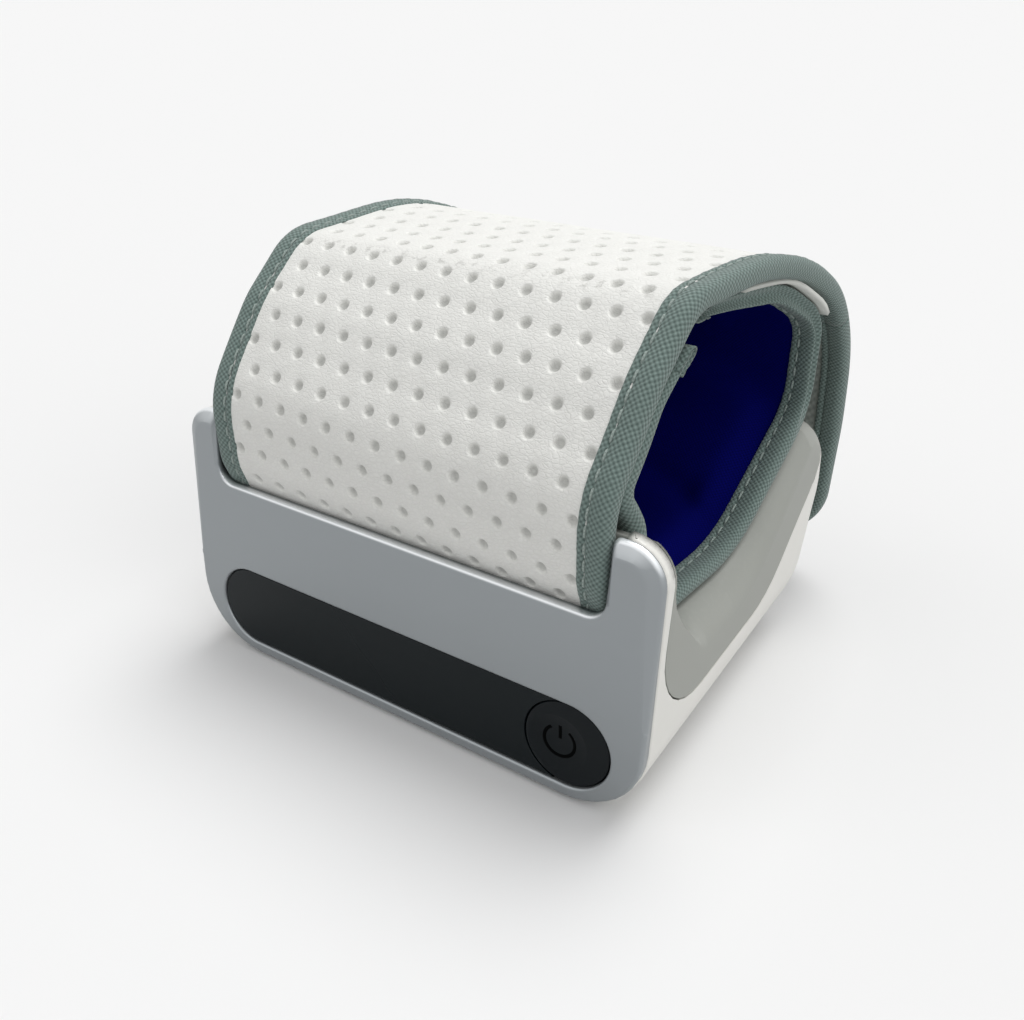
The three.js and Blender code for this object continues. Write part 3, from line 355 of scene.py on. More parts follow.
def grid_faces(rows, columns, ring=False):
    """Quads of a grid of points, row by row. A ring's last column joins its first."""
    faces = []
    for i in range(rows - 1):
        low = i * columns
        high = low + columns
        for j in range(columns if ring else columns - 1):
            k = (j + 1) % columns
            faces.append((low + j, low + k, high + k, high + j))
    return faces


def tube_faces(rows, columns):
    """Faces of a tube, a closed ring of points for each row, with both ends closed."""
    faces = grid_faces(rows, columns, ring=True)
    faces.append(tuple(range(columns)))
    faces.append(tuple((rows - 1) * columns + k for k in reversed(range(columns))))
    return faces


def closed_sheet(rows, columns):
    """Faces of two equal grids, one after the other, and of the rim between them."""
    front = grid_faces(rows, columns)
    count = rows * columns
    back = [tuple(count + k for k in reversed(face)) for face in front]
    edge = list(range(columns))
    edge += [i * columns + columns - 1 for i in range(1, rows)]
    edge += [(rows - 1) * columns + j for j in range(columns - 2, -1, -1)]
    edge += [i * columns for i in range(rows - 2, 0, -1)]
    rim = [(a, b, b + count, a + count) for a, b in zip(edge, edge[1:] + edge[:1])]
    return front + back + rim


def soft_noise(x, s, size, seed):
    """Gentle unevenness from -1 to 1 over a cloth, with swells of about that size."""
    flat = [noise.noise((a / size, b / size, seed)) for a, b in zip(np.ravel(x), np.ravel(s))]
    return np.array(flat).reshape(np.shape(x))


def spread(start, end, step):
    """Evenly spaced values from start to end, about a step apart."""
    return np.linspace(start, end, max(2, int(round((end - start) / step)) + 1))


def round_end_half(half, corner_radius, end, s):
    """Half width of a strip at s, where its far end has round corners."""
    into = np.clip(s - (end - corner_radius), 0, corner_radius)
    return half - corner_radius + np.sqrt(corner_radius ** 2 - into ** 2)


def layer(band, half, start, end, depths, end_corner=0.0, swell=0.12, seed=0.0):
    """A thin closed sheet in a band, between an outer and an inner depth."""
    share, s = np.meshgrid(spread(-1, 1, LAYER_STEP / half), spread(start, end, LAYER_STEP))
    x = share * round_end_half(half, end_corner, end, s) if end_corner else share * half
    unevenness = swell * soft_noise(x, s, SWELL_SIZE, seed)
    both = [band.point(x, s, depth + unevenness) for depth in depths]
    lay = np.stack([x, s, 0 * s], -1)
    soup = Soup()
    soup.add(np.stack(both), closed_sheet(*s.shape), np.stack([lay, lay]))
    return soup


# Dimpled skin

SKIN_START = 0.1
SKIN_END = STRAP.length - SKIN_COVERED
ROWS = round((SKIN_END - SKIN_START) / ROW_PITCH)
ROW_STEP = (SKIN_END - SKIN_START) / ROWS
TAIL_ROW = round((TAIL_START - SKIN_START) / ROW_STEP)
PLAIN_ROWS = 2  # at the tail's end
SIDE_STEPS = 4  # steps along each side of a tile
HALF_TILE = SIDE_STEPS // 2
SKIN_REACH = DIMPLES_ACROSS * HALF_TILE  # steps from the middle to each edge
TILT_GROWS = (2.0, 12.0)  # the rows start level and tilt over this stretch
TILT_FADES = (STRAP.length - 30.0, STRAP.length - 15.0)  # and are level again after this one
TAIL_INNER_CORNER = TAIL_CORNER - SKIN_COVERED


def skin_place(i, j):
    """Across and along, of a point of the tile grid, counted in steps from the middle and the start."""
    x = i * DIMPLE_PITCH / SIDE_STEPS
    v = SKIN_START + j * ROW_STEP / SIDE_STEPS
    s = v - ROW_TILT * x * smooth_step(v, *TILT_GROWS) * (1 - smooth_step(v, *TILT_FADES))
    return x * round_end_half(SKIN_HALF, TAIL_INNER_CORNER, SKIN_END, s) / SKIN_HALF, s


def skin_depth(x, s):
    """Depth of the skin's face between its dimples, a little uneven."""
    return SKIN_DEPTH + sum(height * soft_noise(x, s, size, seed) for height, size, seed in SKIN_SWELLS)


def rim_places(left, right, low, high):
    """Points of the tile grid once round a rectangle of it."""
    return ([(i, low) for i in range(left, right)] + [(right, j) for j in range(low, high)]
            + [(i, high) for i in range(right, left, -1)] + [(left, j) for j in range(high, low, -1)])


def tiles_of(row):
    """Where the dimpled tiles of a row start, and where its plain half tiles do."""
    if row >= ROWS - PLAIN_ROWS:
        return [], list(range(-SKIN_REACH, SKIN_REACH, HALF_TILE))
    shifted = row % 2
    starts = range(-SKIN_REACH + HALF_TILE * shifted, SKIN_REACH - HALF_TILE, SIDE_STEPS)
    clear = HALF_WIDTH - BINDING_WIDTH - DIMPLE_CLEAR
    covered = [i for i in starts if abs(skin_place(i + HALF_TILE, row * SIDE_STEPS)[0]) > clear]
    plain = [-SKIN_REACH, SKIN_REACH - HALF_TILE] if shifted else []
    plain += [i + k for i in covered for k in (0, HALF_TILE)]
    return [i for i in starts if i not in covered], plain


def dimpled_skin(first_row, last_row):
    """The leatherette over some rows: a dimple in each tile, alternate rows shifted by half a tile."""
    columns = range(-SKIN_REACH, SKIN_REACH + 1)
    lines = range(first_row * SIDE_STEPS, last_row * SIDE_STEPS + 1)
    grid = [(i, j) for j in lines for i in columns]
    count = len(grid)
    number = {place: k for k, place in enumerate(grid)}
    spokes = 4 * SIDE_STEPS
    angles = 2 * math.pi * np.arange(spokes) / spokes - 3 * math.pi / 4
    faces = []
    sunken = []  # points of the dimples: across, along, depth below the face
    for row in range(first_row, last_row):
        low = row * SIDE_STEPS
        dimpled, plain = tiles_of(row)
        for left in plain:
            for i in range(left, left + HALF_TILE):
                for j in range(low, low + SIDE_STEPS):
                    quad = [(i, j), (i + 1, j), (i + 1, j + 1), (i, j + 1)]
                    faces.append([number[place] for place in quad])
        for left in dimpled:
            rim = rim_places(left, left + SIDE_STEPS, low, low + SIDE_STEPS)
            around = [number[place] for place in rim]
            centre_x, centre_s = skin_place(left + HALF_TILE, low + HALF_TILE)
            for radius, depth in DIMPLE_PROFILE + [(0.0, DIMPLE_PROFILE[-1][1])]:
                turns = angles if radius else [0.0]
                start = count + len(sunken)
                for turn in turns:
                    x = centre_x + radius * np.cos(turn)
                    sunken.append((x, centre_s + radius * np.sin(turn), depth))
                for k in range(spokes):
                    following = (k + 1) % spokes
                    inner = [start + following, start + k] if radius else [start]
                    faces.append([around[k], around[following]] + inner)
                around = list(range(start, start + len(turns)))
    flat = [(*skin_place(i, j), 0.0) for i, j in grid]
    x, s, sunk = np.array(flat + sunken).T
    surface = skin_depth(x, s)
    soup = Soup()
    soup.add(STRAP.point(x, s, surface + sunk), faces, np.stack([x, s, sunk], 1))
    # The plain inner face has the same points along its rim, and a side joins the two
    inner_start = len(x)
    x = x[:count]
    s = s[:count]
    inner = [tuple(reversed(face)) for face in grid_faces(len(lines), len(columns))]
    soup.add(STRAP.point(x, s, surface[:count] + SKIN_THICKNESS), inner, np.stack([x, s, 0 * s], 1))
    edge = [number[place] for place in rim_places(-SKIN_REACH, SKIN_REACH, lines[0], lines[-1])]
    for a, b in zip(edge, edge[1:] + edge[:1]):
        soup.faces.append((a, b, b + inner_start, a + inner_start))
        soup.shares.append(0)
    return soup


# Folded tapes with their stitches

CURVE_STEPS = 3  # between the points that a curve is drawn through


def curve_through(points):
    """A smooth line that goes through all of the points."""
    points = np.array(points, float)
    padded = np.vstack([2 * points[0] - points[1], points, 2 * points[-1] - points[-2]])
    line = []
    for i in range(1, len(padded) - 2):
        a, b, c, d = padded[i - 1:i + 3]
        for t in np.arange(CURVE_STEPS) / CURVE_STEPS:
            line.append(0.5 * (2 * b + (c - a) * t + (2 * a - 5 * b + 4 * c - d) * t ** 2
                               + (3 * b - a - 3 * c + d) * t ** 3))
    line.append(points[-1])
    return np.array(line)


def tape_section(thickness):
    """Section of a folded tape as (e, d): e inward from the fold, d deep. Its outside and its inside."""
    width = BINDING_WIDTH
    inset = STITCH_INSET
    leg = [
        (width, 0.56), (width - 0.16, 0.28), (width - 0.6, 0.16), (inset + 0.35, 0.22), (inset, 0.42),
        (inset - 0.4, 0.16), (1.7, -0.05), (0.9, 0.02), (0.38, 0.36), (0.08, 0.95),
    ]
    other = [(e, thickness - d) for e, d in reversed(leg)]
    outside = curve_through(leg + [(0.0, thickness / 2)] + other)
    way = np.gradient(outside, axis=0)
    way /= np.linalg.norm(way, axis=1)[:, None]
    inside = outside + BINDING_TAPE * np.stack([way[:, 1], -way[:, 0]], 1)
    return outside, inside


def edge_path(side, start, end):
    """Line along one edge of a band, as rows of x, s, and the direction inward."""
    s = spread(start, end, TAPE_STEP)
    x = np.full_like(s, side * HALF_WIDTH)
    inward = np.stack([np.full_like(s, -side), 0 * s], 1)
    return np.stack([x, s], 1), inward


def end_path(s, way):
    """Line across one end of a band, and the direction inward."""
    x = spread(-HALF_WIDTH - END_TAPE_OVER, HALF_WIDTH + END_TAPE_OVER, TAPE_STEP)
    return np.stack([x, np.full_like(x, s)], 1), np.tile([0.0, way], (len(x), 1))


def tail_path(start, end):
    """Line down the tail's right edge, round its end and up its left edge, and the direction inward."""
    right, right_in = edge_path(1, start, end - TAIL_CORNER)
    turns = spread(0, math.pi / 2, TAPE_STEP / TAIL_CORNER)[1:]
    centre = np.array([HALF_WIDTH - TAIL_CORNER, end - TAIL_CORNER])
    spoke = np.stack([np.cos(turns), np.sin(turns)], 1)
    curve = centre + TAIL_CORNER * spoke
    middle_x = spread(-centre[0], centre[0], TAPE_STEP)[1:-1][::-1]
    middle = np.stack([middle_x, np.full_like(middle_x, end)], 1)
    middle_in = np.tile([0.0, -1.0], (len(middle), 1))
    flip = np.array([-1.0, 1.0])
    path = [right, curve, middle, (curve * flip)[::-1], (right * flip)[::-1]]
    inward = [right_in, -spoke, middle_in, (-spoke * flip)[::-1], (right_in * flip)[::-1]]
    return np.concatenate(path), np.concatenate(inward)


def sew_tape(soup, band, route, thickness, sewn, seed, hollow=None, over=0.0):
    """A tape folded over an edge of a band, with stitches on its outer face (-1) or its inner one (1).

    The route is a path and the direction inward along it. The tape's fold sinks in where it is
    hollow: from, to, how deep. Over is how far outside the band it lies.
    """
    path, inward = route
    outside, inside = tape_section(thickness + 2 * over)
    section = np.concatenate([outside, inside[::-1]])
    along = lengths_along(path)
    into = np.tile(section[:, 0], (len(path), 1))
    if hollow:
        low, high, deep = hollow
        sunk = deep * smooth_step(path[:, 1], band.along(low), band.along(high))
        between = np.clip(1 - (2 * section[:, 1] / thickness - 1) ** 2, 0, 1) ** 2
        into += sunk[:, None] * between * (1 - smooth_step(section[:, 0], *HOLLOW_FADES))
    place = path[:, None, :] + inward[:, None, :] * into[..., None]
    run = np.broadcast_to(along[:, None], place.shape[:2])
    girth = np.broadcast_to(lengths_along(section)[None, :], place.shape[:2])
    legs = np.sign(section[:, 1] - thickness / 2 - over) * smooth_step(section[:, 0], *LEG_STARTS)
    pucker = TAPE_PUCKER * np.cos(2 * math.pi * run / STITCH_PITCH)
    pucker += TAPE_RUMPLE * soft_noise(girth * RUMPLE_ROUND, run, RUMPLE_SIZE, seed)
    sway = TAPE_SWAY * soft_noise(0 * run, run, SWAY_SIZE, seed + 5.0)
    depth = section[None, :, 1] - over + legs[None, :] * pucker + sway
    points = band.point(place[..., 0], place[..., 1], depth)
    soup.add(points, tube_faces(*run.shape), np.stack([girth, run, 0 * run], -1))
    lie = STITCH_LIE - over if sewn < 0 else thickness + over - STITCH_LIE
    for middle in np.arange(STITCH_PITCH, along[-1] - STITCH_PITCH, STITCH_PITCH):
        add_stitch(soup, band, route, middle, lie, sewn)


def add_stitch(soup, band, route, middle, lie, sewn):
    """One stitch: a short thread that dives into the tape at both ends."""
    path, inward = route
    rings, spokes = 7, 6
    ends = np.linspace(-1, 1, rings)
    run = middle + ends * STITCH_LENGTH / 2
    radius = STITCH_RADIUS * np.sqrt(1 - 0.96 * ends ** 6)
    angles = 2 * math.pi * np.arange(spokes) / spokes
    along = lengths_along(path)
    x, s, inward_x, inward_s = [np.interp(run, along, line) for line in (*path.T, *inward.T)]
    e = STITCH_INSET + radius[:, None] * np.cos(angles)
    depth = lie - sewn * STITCH_DIVE * ends[:, None] ** 4 + radius[:, None] * np.sin(angles)
    points = band.point(x[:, None] + inward_x[:, None] * e, s[:, None] + inward_s[:, None] * e, depth)
    lay = np.stack([e, np.broadcast_to(run[:, None], e.shape), 0 * e], -1)
    soup.add(points, tube_faces(rings, spokes), lay, share=1)


# Materials: small helpers, then the shared effects as node groups, then one material for each finish

def srgb(red, green, blue):
    """A colour as seen on a screen, 0 to 255, as the linear values that nodes take."""
    linear = []
    for value in (red, green, blue):
        share = value / 255
        linear.append(share / 12.92 if share <= 0.04045 else ((share + 0.055) / 1.055) ** 2.4)
    return (*linear, 1.0)


def feed(tree, target, value):
    """Joins a socket to an input, or sets the input to a plain value."""
    if isinstance(value, bpy.types.NodeSocket):
        tree.links.new(value, target)
    else:
        target.default_value = value


def node(tree, kind, inputs=None, **settings):
    """A new shader node with its settings, and its inputs as values or as sockets to join."""
    made = tree.nodes.new("ShaderNode" + kind)
    for name, value in settings.items():
        setattr(made, name, value)
    for name, value in (inputs or {}).items():
        feed(tree, made.inputs[name], value)
    return made


def maths(tree, operation, *values):
    """One arithmetic node: its result socket."""
    return node(tree, "Math", dict(enumerate(values)), operation=operation).outputs[0]


def ramp(tree, value, low, high, first=0.0, last=1.0):
    """A share that goes from first to last as a value goes from low to high: its socket."""
    ends = {"Value": value, "From Min": low, "From Max": high, "To Min": first, "To Max": last}
    return node(tree, "MapRange", ends).outputs[0]


def speckle(tree, place, scale, detail, **more):
    """A noise pattern: its outputs."""
    return node(tree, "TexNoise", {"Vector": place, "Scale": scale, "Detail": detail, **more}).outputs


def strayed(tree, place, pattern, far):
    """A place moved across and along by the colours of a pattern, up to so far: its socket."""
    shift = node(tree, "VectorMath", {0: pattern, 1: (far, far, 0.0)}, operation="MULTIPLY").outputs[0]
    return node(tree, "VectorMath", {0: place, 1: shift}, operation="ADD").outputs[0]


def blend_colours(tree, share, first, second):
    """Mix of two colours by a share: its socket."""
    mix = node(tree, "Mix", data_type="RGBA")
    for socket, value in (("Factor_Float", share), ("A_Color", first), ("B_Color", second)):
        feed(tree, next(i for i in mix.inputs if i.identifier == socket), value)
    return next(o for o in mix.outputs if o.identifier == "Result_Color")


def new_group(name, inputs, outputs):
    """An empty node group with named sockets: the tree, its given sockets and its results' sockets."""
    tree = bpy.data.node_groups.new(name, "ShaderNodeTree")
    for label, kind, value in inputs:
        socket = tree.interface.new_socket(label, in_out="INPUT", socket_type="NodeSocket" + kind)
        if value is not None:
            socket.default_value = value
    for label in outputs:
        tree.interface.new_socket(label, in_out="OUTPUT", socket_type="NodeSocketFloat")
    return tree, tree.nodes.new("NodeGroupInput").outputs, tree.nodes.new("NodeGroupOutput").inputs


def make_weave_group():
    """Plain weave: threads over and under each other, a little uneven. Place in millimetres."""
    tree, given, result = new_group(
        "plain_weave",
        [("Place", "Vector", None), ("Pitch", "Float", 0.5), ("Turn", "Float", 0.0)],
        ["Height", "ToneAndHighlight"])
    turned = node(tree, "VectorRotate", {"Vector": given["Place"], "Angle": given["Turn"]},
                  rotation_type="Z_AXIS").outputs[0]
    wander = speckle(tree, given["Place"], 0.9, 1.0)["Color"]
    moved = strayed(tree, turned, wander, 0.25)
    parts = node(tree, "SeparateXYZ", {0: moved}).outputs
    waves = []
    for axis in ("X", "Y"):
        count = maths(tree, "DIVIDE", parts[axis], given["Pitch"])
        waves.append(maths(tree, "SINE", maths(tree, "MULTIPLY", count, math.pi)))
    height = maths(tree, "MULTIPLY_ADD", maths(tree, "MULTIPLY", *waves), 0.5, 0.5)
    specks = speckle(tree, moved, 3.2, 2.0)["Fac"]
    # painted highlight on the raised tops of the threads, with random specks of tone
    tone = maths(tree, "MULTIPLY_ADD", specks, 0.4, maths(tree, "MULTIPLY", height, 0.75))
    feed(tree, result["Height"], height)
    feed(tree, result["ToneAndHighlight"], tone)
    return tree


def make_grain_group():
    """Fine moulded grain and slow tone changes. Place in millimetres."""
    tree, given, result = new_group(
        "moulded_grain",
        [("Place", "Vector", None), ("Grain Size", "Float", 0.3), ("Patch Size", "Float", 14.0)],
        ["Height", "Patch"])
    fine = maths(tree, "DIVIDE", 1.0, given["Grain Size"])
    coarse = maths(tree, "DIVIDE", 1.0, given["Patch Size"])
    feed(tree, result["Height"], speckle(tree, given["Place"], fine, 3.0)["Fac"])
    feed(tree, result["Patch"], speckle(tree, given["Place"], coarse, 2.0)["Fac"])
    return tree


def make_leather_group():
    """Wrinkled leatherette: flat pebbles between fine creases, longer across the strap."""
    tree, given, result = new_group("leather_grain", [("Place", "Vector", None)],
                                    ["Height", "Crease", "Patch"])
    longer = node(tree, "Mapping", {"Vector": given["Place"], "Scale": (0.75, 1.15, 1.0)}).outputs[0]
    wobble = speckle(tree, longer, 1.1, 3.0)["Color"]
    moved = strayed(tree, longer, wobble, 0.7)
    cells = node(tree, "TexVoronoi", {"Vector": moved, "Scale": 1.5}, feature="DISTANCE_TO_EDGE")
    crease = ramp(tree, cells.outputs["Distance"], 0.0, 0.16, 1.0, 0.0)
    fine = speckle(tree, moved, 3.5, 4.0)["Fac"]
    feed(tree, result["Height"], maths(tree, "SUBTRACT", fine, maths(tree, "MULTIPLY", crease, 0.55)))
    feed(tree, result["Crease"], crease)
    feed(tree, result["Patch"], speckle(tree, given["Place"], 0.07, 2.0)["Fac"])
    return tree


def make_dust_group():
    """Share of fine dust, more of it on faces that look up."""
    tree, given, result = new_group("light_dust", [("Place", "Vector", None), ("Amount", "Float", 0.1)],
                                    ["Share"])
    facing = node(tree, "SeparateXYZ", {0: node(tree, "NewGeometry").outputs["Normal"]}).outputs
    upward = ramp(tree, facing["Z"], 0.1, 1.0)
    clumps = ramp(tree, speckle(tree, given["Place"], 1.3, 5.0)["Fac"], 0.5, 0.75)
    share = maths(tree, "MULTIPLY", upward, clumps)
    feed(tree, result["Share"], maths(tree, "MULTIPLY", share, given["Amount"]))
    return tree


GROUPS = {
    "weave": make_weave_group(),
    "grain": make_grain_group(),
    "leather": make_leather_group(),
    "dust": make_dust_group(),
}


def use_group(tree, name, **inputs):
    """A shared effect in a material, with its inputs: its outputs."""
    used = tree.nodes.new("ShaderNodeGroup")
    used.node_tree = GROUPS[name]
    for label, value in inputs.items():
        feed(tree, used.inputs[label.replace("_", " ")], value)
    return used.outputs


def start_material(name):
    """A new material, its tree and the inputs of its Principled node."""
    material = bpy.data.materials.new(name)
    material.use_nodes = True
    return material, material.node_tree, material.node_tree.nodes["Principled BSDF"].inputs


def solid_place(tree):
    """Place on a hard piece in millimetres."""
    own = node(tree, "TexCoord").outputs["Object"]
    return node(tree, "VectorMath", {0: own, "Scale": 1 / MM}, operation="SCALE").outputs[0]


def cloth_place(tree):
    """Place in a cloth in millimetres: across, along, and on the skin how deep in a dimple."""
    return node(tree, "Attribute", attribute_name="lay").outputs["Vector"]


def bump(tree, surface, height, distance):
    """Raises a surface by a height pattern. The distance is in millimetres."""
    raised = node(tree, "Bump", {"Height": height, "Distance": distance * MM})
    feed(tree, surface["Normal"], raised.outputs[0])


def vary(tree, share, spread_by, colour):
    """The colour, darker and lighter by a small share where a pattern says so."""
    dark = [c * (1 - spread_by) for c in colour[:3]] + [1.0]
    light = [min(c * (1 + spread_by), 1.0) for c in colour[:3]] + [1.0]
    return blend_colours(tree, share, dark, light)


def upper_edges(tree):
    """Where a surface above the display is turned up, from 0 on a wall to 1 on its upper edge: the mask
    of a painted highlight.
    """
    found = node(tree, "NewGeometry").outputs
    height = node(tree, "SeparateXYZ", {0: found["Position"]}).outputs["Z"]
    turned = node(tree, "SeparateXYZ", {0: found["Normal"]}).outputs["Z"]
    above = maths(tree, "GREATER_THAN", height, (SLOT_CENTRE + SLOT_HEIGHT) * MM)
    return maths(tree, "MULTIPLY", ramp(tree, turned, 0.35, 0.8), above)


DUST = srgb(205, 203, 198)
DUST_ROUGHENS = 0.4
HARD_TONES = 0.03  # a hard colour gets darker and lighter by this share
HARD_GLOSS_RANGE = 0.12  # its roughness changes by this in all


def hard_material(name, colour, roughness, metallic=0.0, specular=0.5, grain=0.004, grain_size=0.25,
                  dust=0.08, painted_highlight=None):
    """Moulded plastic, paint or metal, with fine grain, slow tone changes and a little dust.

    Edges that face up can have a painted highlight: a paler colour in place of the light that they
    catch.
    """
    material, tree, surface = start_material(name)
    place = solid_place(tree)
    found = use_group(tree, "grain", Place=place, Grain_Size=grain_size)
    base = vary(tree, found["Patch"], HARD_TONES, colour)
    # painted highlight on the upward edges above the display
    if painted_highlight:
        base = blend_colours(tree, upper_edges(tree), base, painted_highlight)
    share = use_group(tree, "dust", Place=place, Amount=dust)["Share"]
    feed(tree, surface["Base Color"], blend_colours(tree, share, base, DUST))
    smoothest = roughness - HARD_GLOSS_RANGE / 2
    rough = maths(tree, "MULTIPLY_ADD", found["Patch"], HARD_GLOSS_RANGE, smoothest)
    dusty = maths(tree, "MULTIPLY", share, DUST_ROUGHENS)
    feed(tree, surface["Roughness"], maths(tree, "ADD", rough, dusty))
    surface["Metallic"].default_value = metallic
    surface["Specular IOR Level"].default_value = specular
    bump(tree, surface, found["Height"], grain)
    return material


CLOTH_TONES = 0.12  # cloth gets darker and lighter by this share
CLOTH_PATCH = 9.0  # over patches of this size
CLOTH_ROUGHNESS = 0.82
SHEEN_ROUGHNESS = 0.5


def woven_material(name, colour, light, pitch, depth, turn=0.0, sheen=0.25, specular=0.2):
    """Woven cloth with its threads raised, and a painted highlight that makes them paler on top."""
    material, tree, surface = start_material(name)
    place = cloth_place(tree)
    weave = use_group(tree, "weave", Place=place, Pitch=pitch, Turn=turn)
    patch = use_group(tree, "grain", Place=place, Patch_Size=CLOTH_PATCH)["Patch"]
    # the threads go from the cloth's colour to its paler one by that painted highlight and the specks
    threads = blend_colours(tree, weave["ToneAndHighlight"], vary(tree, patch, CLOTH_TONES, colour), light)
    feed(tree, surface["Base Color"], threads)
    surface["Roughness"].default_value = CLOTH_ROUGHNESS
    surface["Specular IOR Level"].default_value = specular
    surface["Sheen Weight"].default_value = sheen
    surface["Sheen Roughness"].default_value = SHEEN_ROUGHNESS
    bump(tree, surface, weave["Height"], depth)
    return material


CREASE_GREY = srgb(190, 190, 186)
# grey of the painted shade in the dimples
DIMPLE_PAINTED_SHADE = srgb(142, 144, 140)
FOLD_SCUFFS = srgb(128, 126, 120)
LEATHER_TONES = 0.025
LEATHER_ROUGHNESS = 0.5
LEATHER_RELIEF = 0.07
CREASE_SHARE = 0.10  # of grey in a crease
CREASE_ROUGHENS = 0.15
DIMPLE_SHADE_SHARE = 0.42  # most painted shade in a dimple
SCUFF_SHARE = 0.5  # most scuffing along the fold


def leather_material(name, colour):
    """White leatherette with fine creases, darkened by painted shade in its dimples and soiled a little
    along its fold.
    """
    material, tree, surface = start_material(name)
    place = cloth_place(tree)
    grain = use_group(tree, "leather", Place=place)
    base = vary(tree, grain["Patch"], LEATHER_TONES, colour)
    in_crease = maths(tree, "MULTIPLY", grain["Crease"], CREASE_SHARE)
    creased = blend_colours(tree, in_crease, base, CREASE_GREY)
    parts = node(tree, "SeparateXYZ", {0: place}).outputs
    # painted shade: the deeper in a dimple, the greyer, standing in for the shade there
    dimple_shade = ramp(tree, parts["Z"], 0.25, 0.75, 0.0, DIMPLE_SHADE_SHARE)
    dimpled = blend_colours(tree, dimple_shade, creased, DIMPLE_PAINTED_SHADE)
    from_fold = maths(tree, "ABSOLUTE", maths(tree, "SUBTRACT", parts["Y"], CREASE_PLACE))
    near_fold = ramp(tree, from_fold, 0.2, 1.7, 1.0, 0.0)
    rubbed = speckle(tree, place, 0.55, 6.0, Roughness=0.7)["Fac"]
    scuffed = maths(tree, "MULTIPLY", near_fold, ramp(tree, rubbed, 0.52, 0.66, 0.0, SCUFF_SHARE))
    feed(tree, surface["Base Color"], blend_colours(tree, scuffed, dimpled, FOLD_SCUFFS))
    rough = maths(tree, "MULTIPLY_ADD", grain["Crease"], CREASE_ROUGHENS, LEATHER_ROUGHNESS)
    feed(tree, surface["Roughness"], rough)
    bump(tree, surface, grain["Height"], LEATHER_RELIEF)
    return material


HARD_FINISHES = {
    "white_shell": dict(colour=srgb(236, 235, 229), roughness=0.34, grain=0.003),
    "grey_cradle": dict(colour=srgb(162, 164, 158), roughness=0.5, specular=0.35, grain=0.01,
                        grain_size=0.4),
    # the silver panel's upward edges carry a painted highlight
    "silver_panel": dict(colour=srgb(151, 156, 159), roughness=0.4, metallic=0.6, grain_size=0.12,
                         dust=0.05, painted_highlight=srgb(238, 241, 243)),
    "dark_window": dict(colour=srgb(16, 24, 27), roughness=0.14, specular=0.14, grain=0.0, dust=0.02),
    "dark_button": dict(colour=srgb(18, 23, 26), roughness=0.36, specular=0.12, grain=0.003, dust=0.02),
    "button_sign": dict(colour=srgb(3, 4, 4), roughness=0.6, specular=0.02, grain=0.0, dust=0.0),
    "black_chip": dict(colour=srgb(24, 24, 26), roughness=0.5),
    "green_board": dict(colour=srgb(29, 91, 52), roughness=0.4),
    "bright_steel": dict(colour=srgb(185, 187, 189), roughness=0.3, metallic=1.0),
    "cell_jacket": dict(colour=srgb(44, 49, 52), roughness=0.35, metallic=0.5),
    "black_plastic": dict(colour=srgb(36, 36, 36), roughness=0.5),
    "tube_rubber": dict(colour=srgb(217, 214, 204), roughness=0.5),
    "pale_former": dict(colour=srgb(206, 208, 202), roughness=0.38, grain=0.003),
    "bladder_film": dict(colour=srgb(191, 196, 194), roughness=0.4),
}
# light is the paler colour of the painted highlight on the threads' tops
WOVEN_FINISHES = {
    "grey_binding": dict(colour=srgb(62, 78, 73), light=srgb(136, 154, 149), pitch=0.44, depth=0.11,
                         turn=0.1),
    "grey_knit": dict(colour=srgb(128, 136, 131), light=srgb(160, 166, 161), pitch=0.9, depth=0.15),
    "navy_lining": dict(colour=srgb(2, 4, 62), light=srgb(5, 9, 108), pitch=0.32, depth=0.03, sheen=0.0,
                        specular=0.03),
    "pale_thread": dict(colour=srgb(128, 143, 137), light=srgb(168, 180, 175), pitch=0.25, depth=0.03),
}
LOOKS = {name: hard_material(name, **finish) for name, finish in HARD_FINISHES.items()}
LOOKS["white_leatherette"] = leather_material("white_leatherette", srgb(240, 240, 236))
LOOKS.update({name: woven_material(name, **finish) for name, finish in WOVEN_FINISHES.items()})


# Strap and tail

def bend_at_root(piece):
    """Cloth across the strap's root hinge, with its place baked into its mesh."""
    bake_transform(piece)


def bend_at_tail(piece):
    """Cloth across the tail's hinge, with its place baked into its mesh."""
    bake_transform(piece)


def on_housing(piece):
    """A piece that stays with the housing."""
    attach(piece, "housing")


def finish_piece(piece, nodes, place):
    """Says which solids a piece stands for, and hands it to the function that places it."""
    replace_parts(piece, *nodes)
    place(piece)
    return piece


def cloth_piece(soup, name, slot, nodes, place, *more):
    """A piece of cloth or sheet from its gathered mesh."""
    made = soup.piece(name, LOOKS[slot], *[LOOKS[look] for look in more])
    return finish_piece(made, nodes, place)


def tape_cut(thickness):
    """Width of a tape before it was folded over an edge that thick."""
    outside = tape_section(thickness)[0]
    return np.linalg.norm(np.diff(outside, axis=0), axis=1).sum()


STIFFENER_HALF = SKIN_HALF - 0.6
STIFFENER_DEPTHS = (1.6, 2.1)
INNER_DEPTHS = (2.35, 2.95)  # of the cloth on the inner side

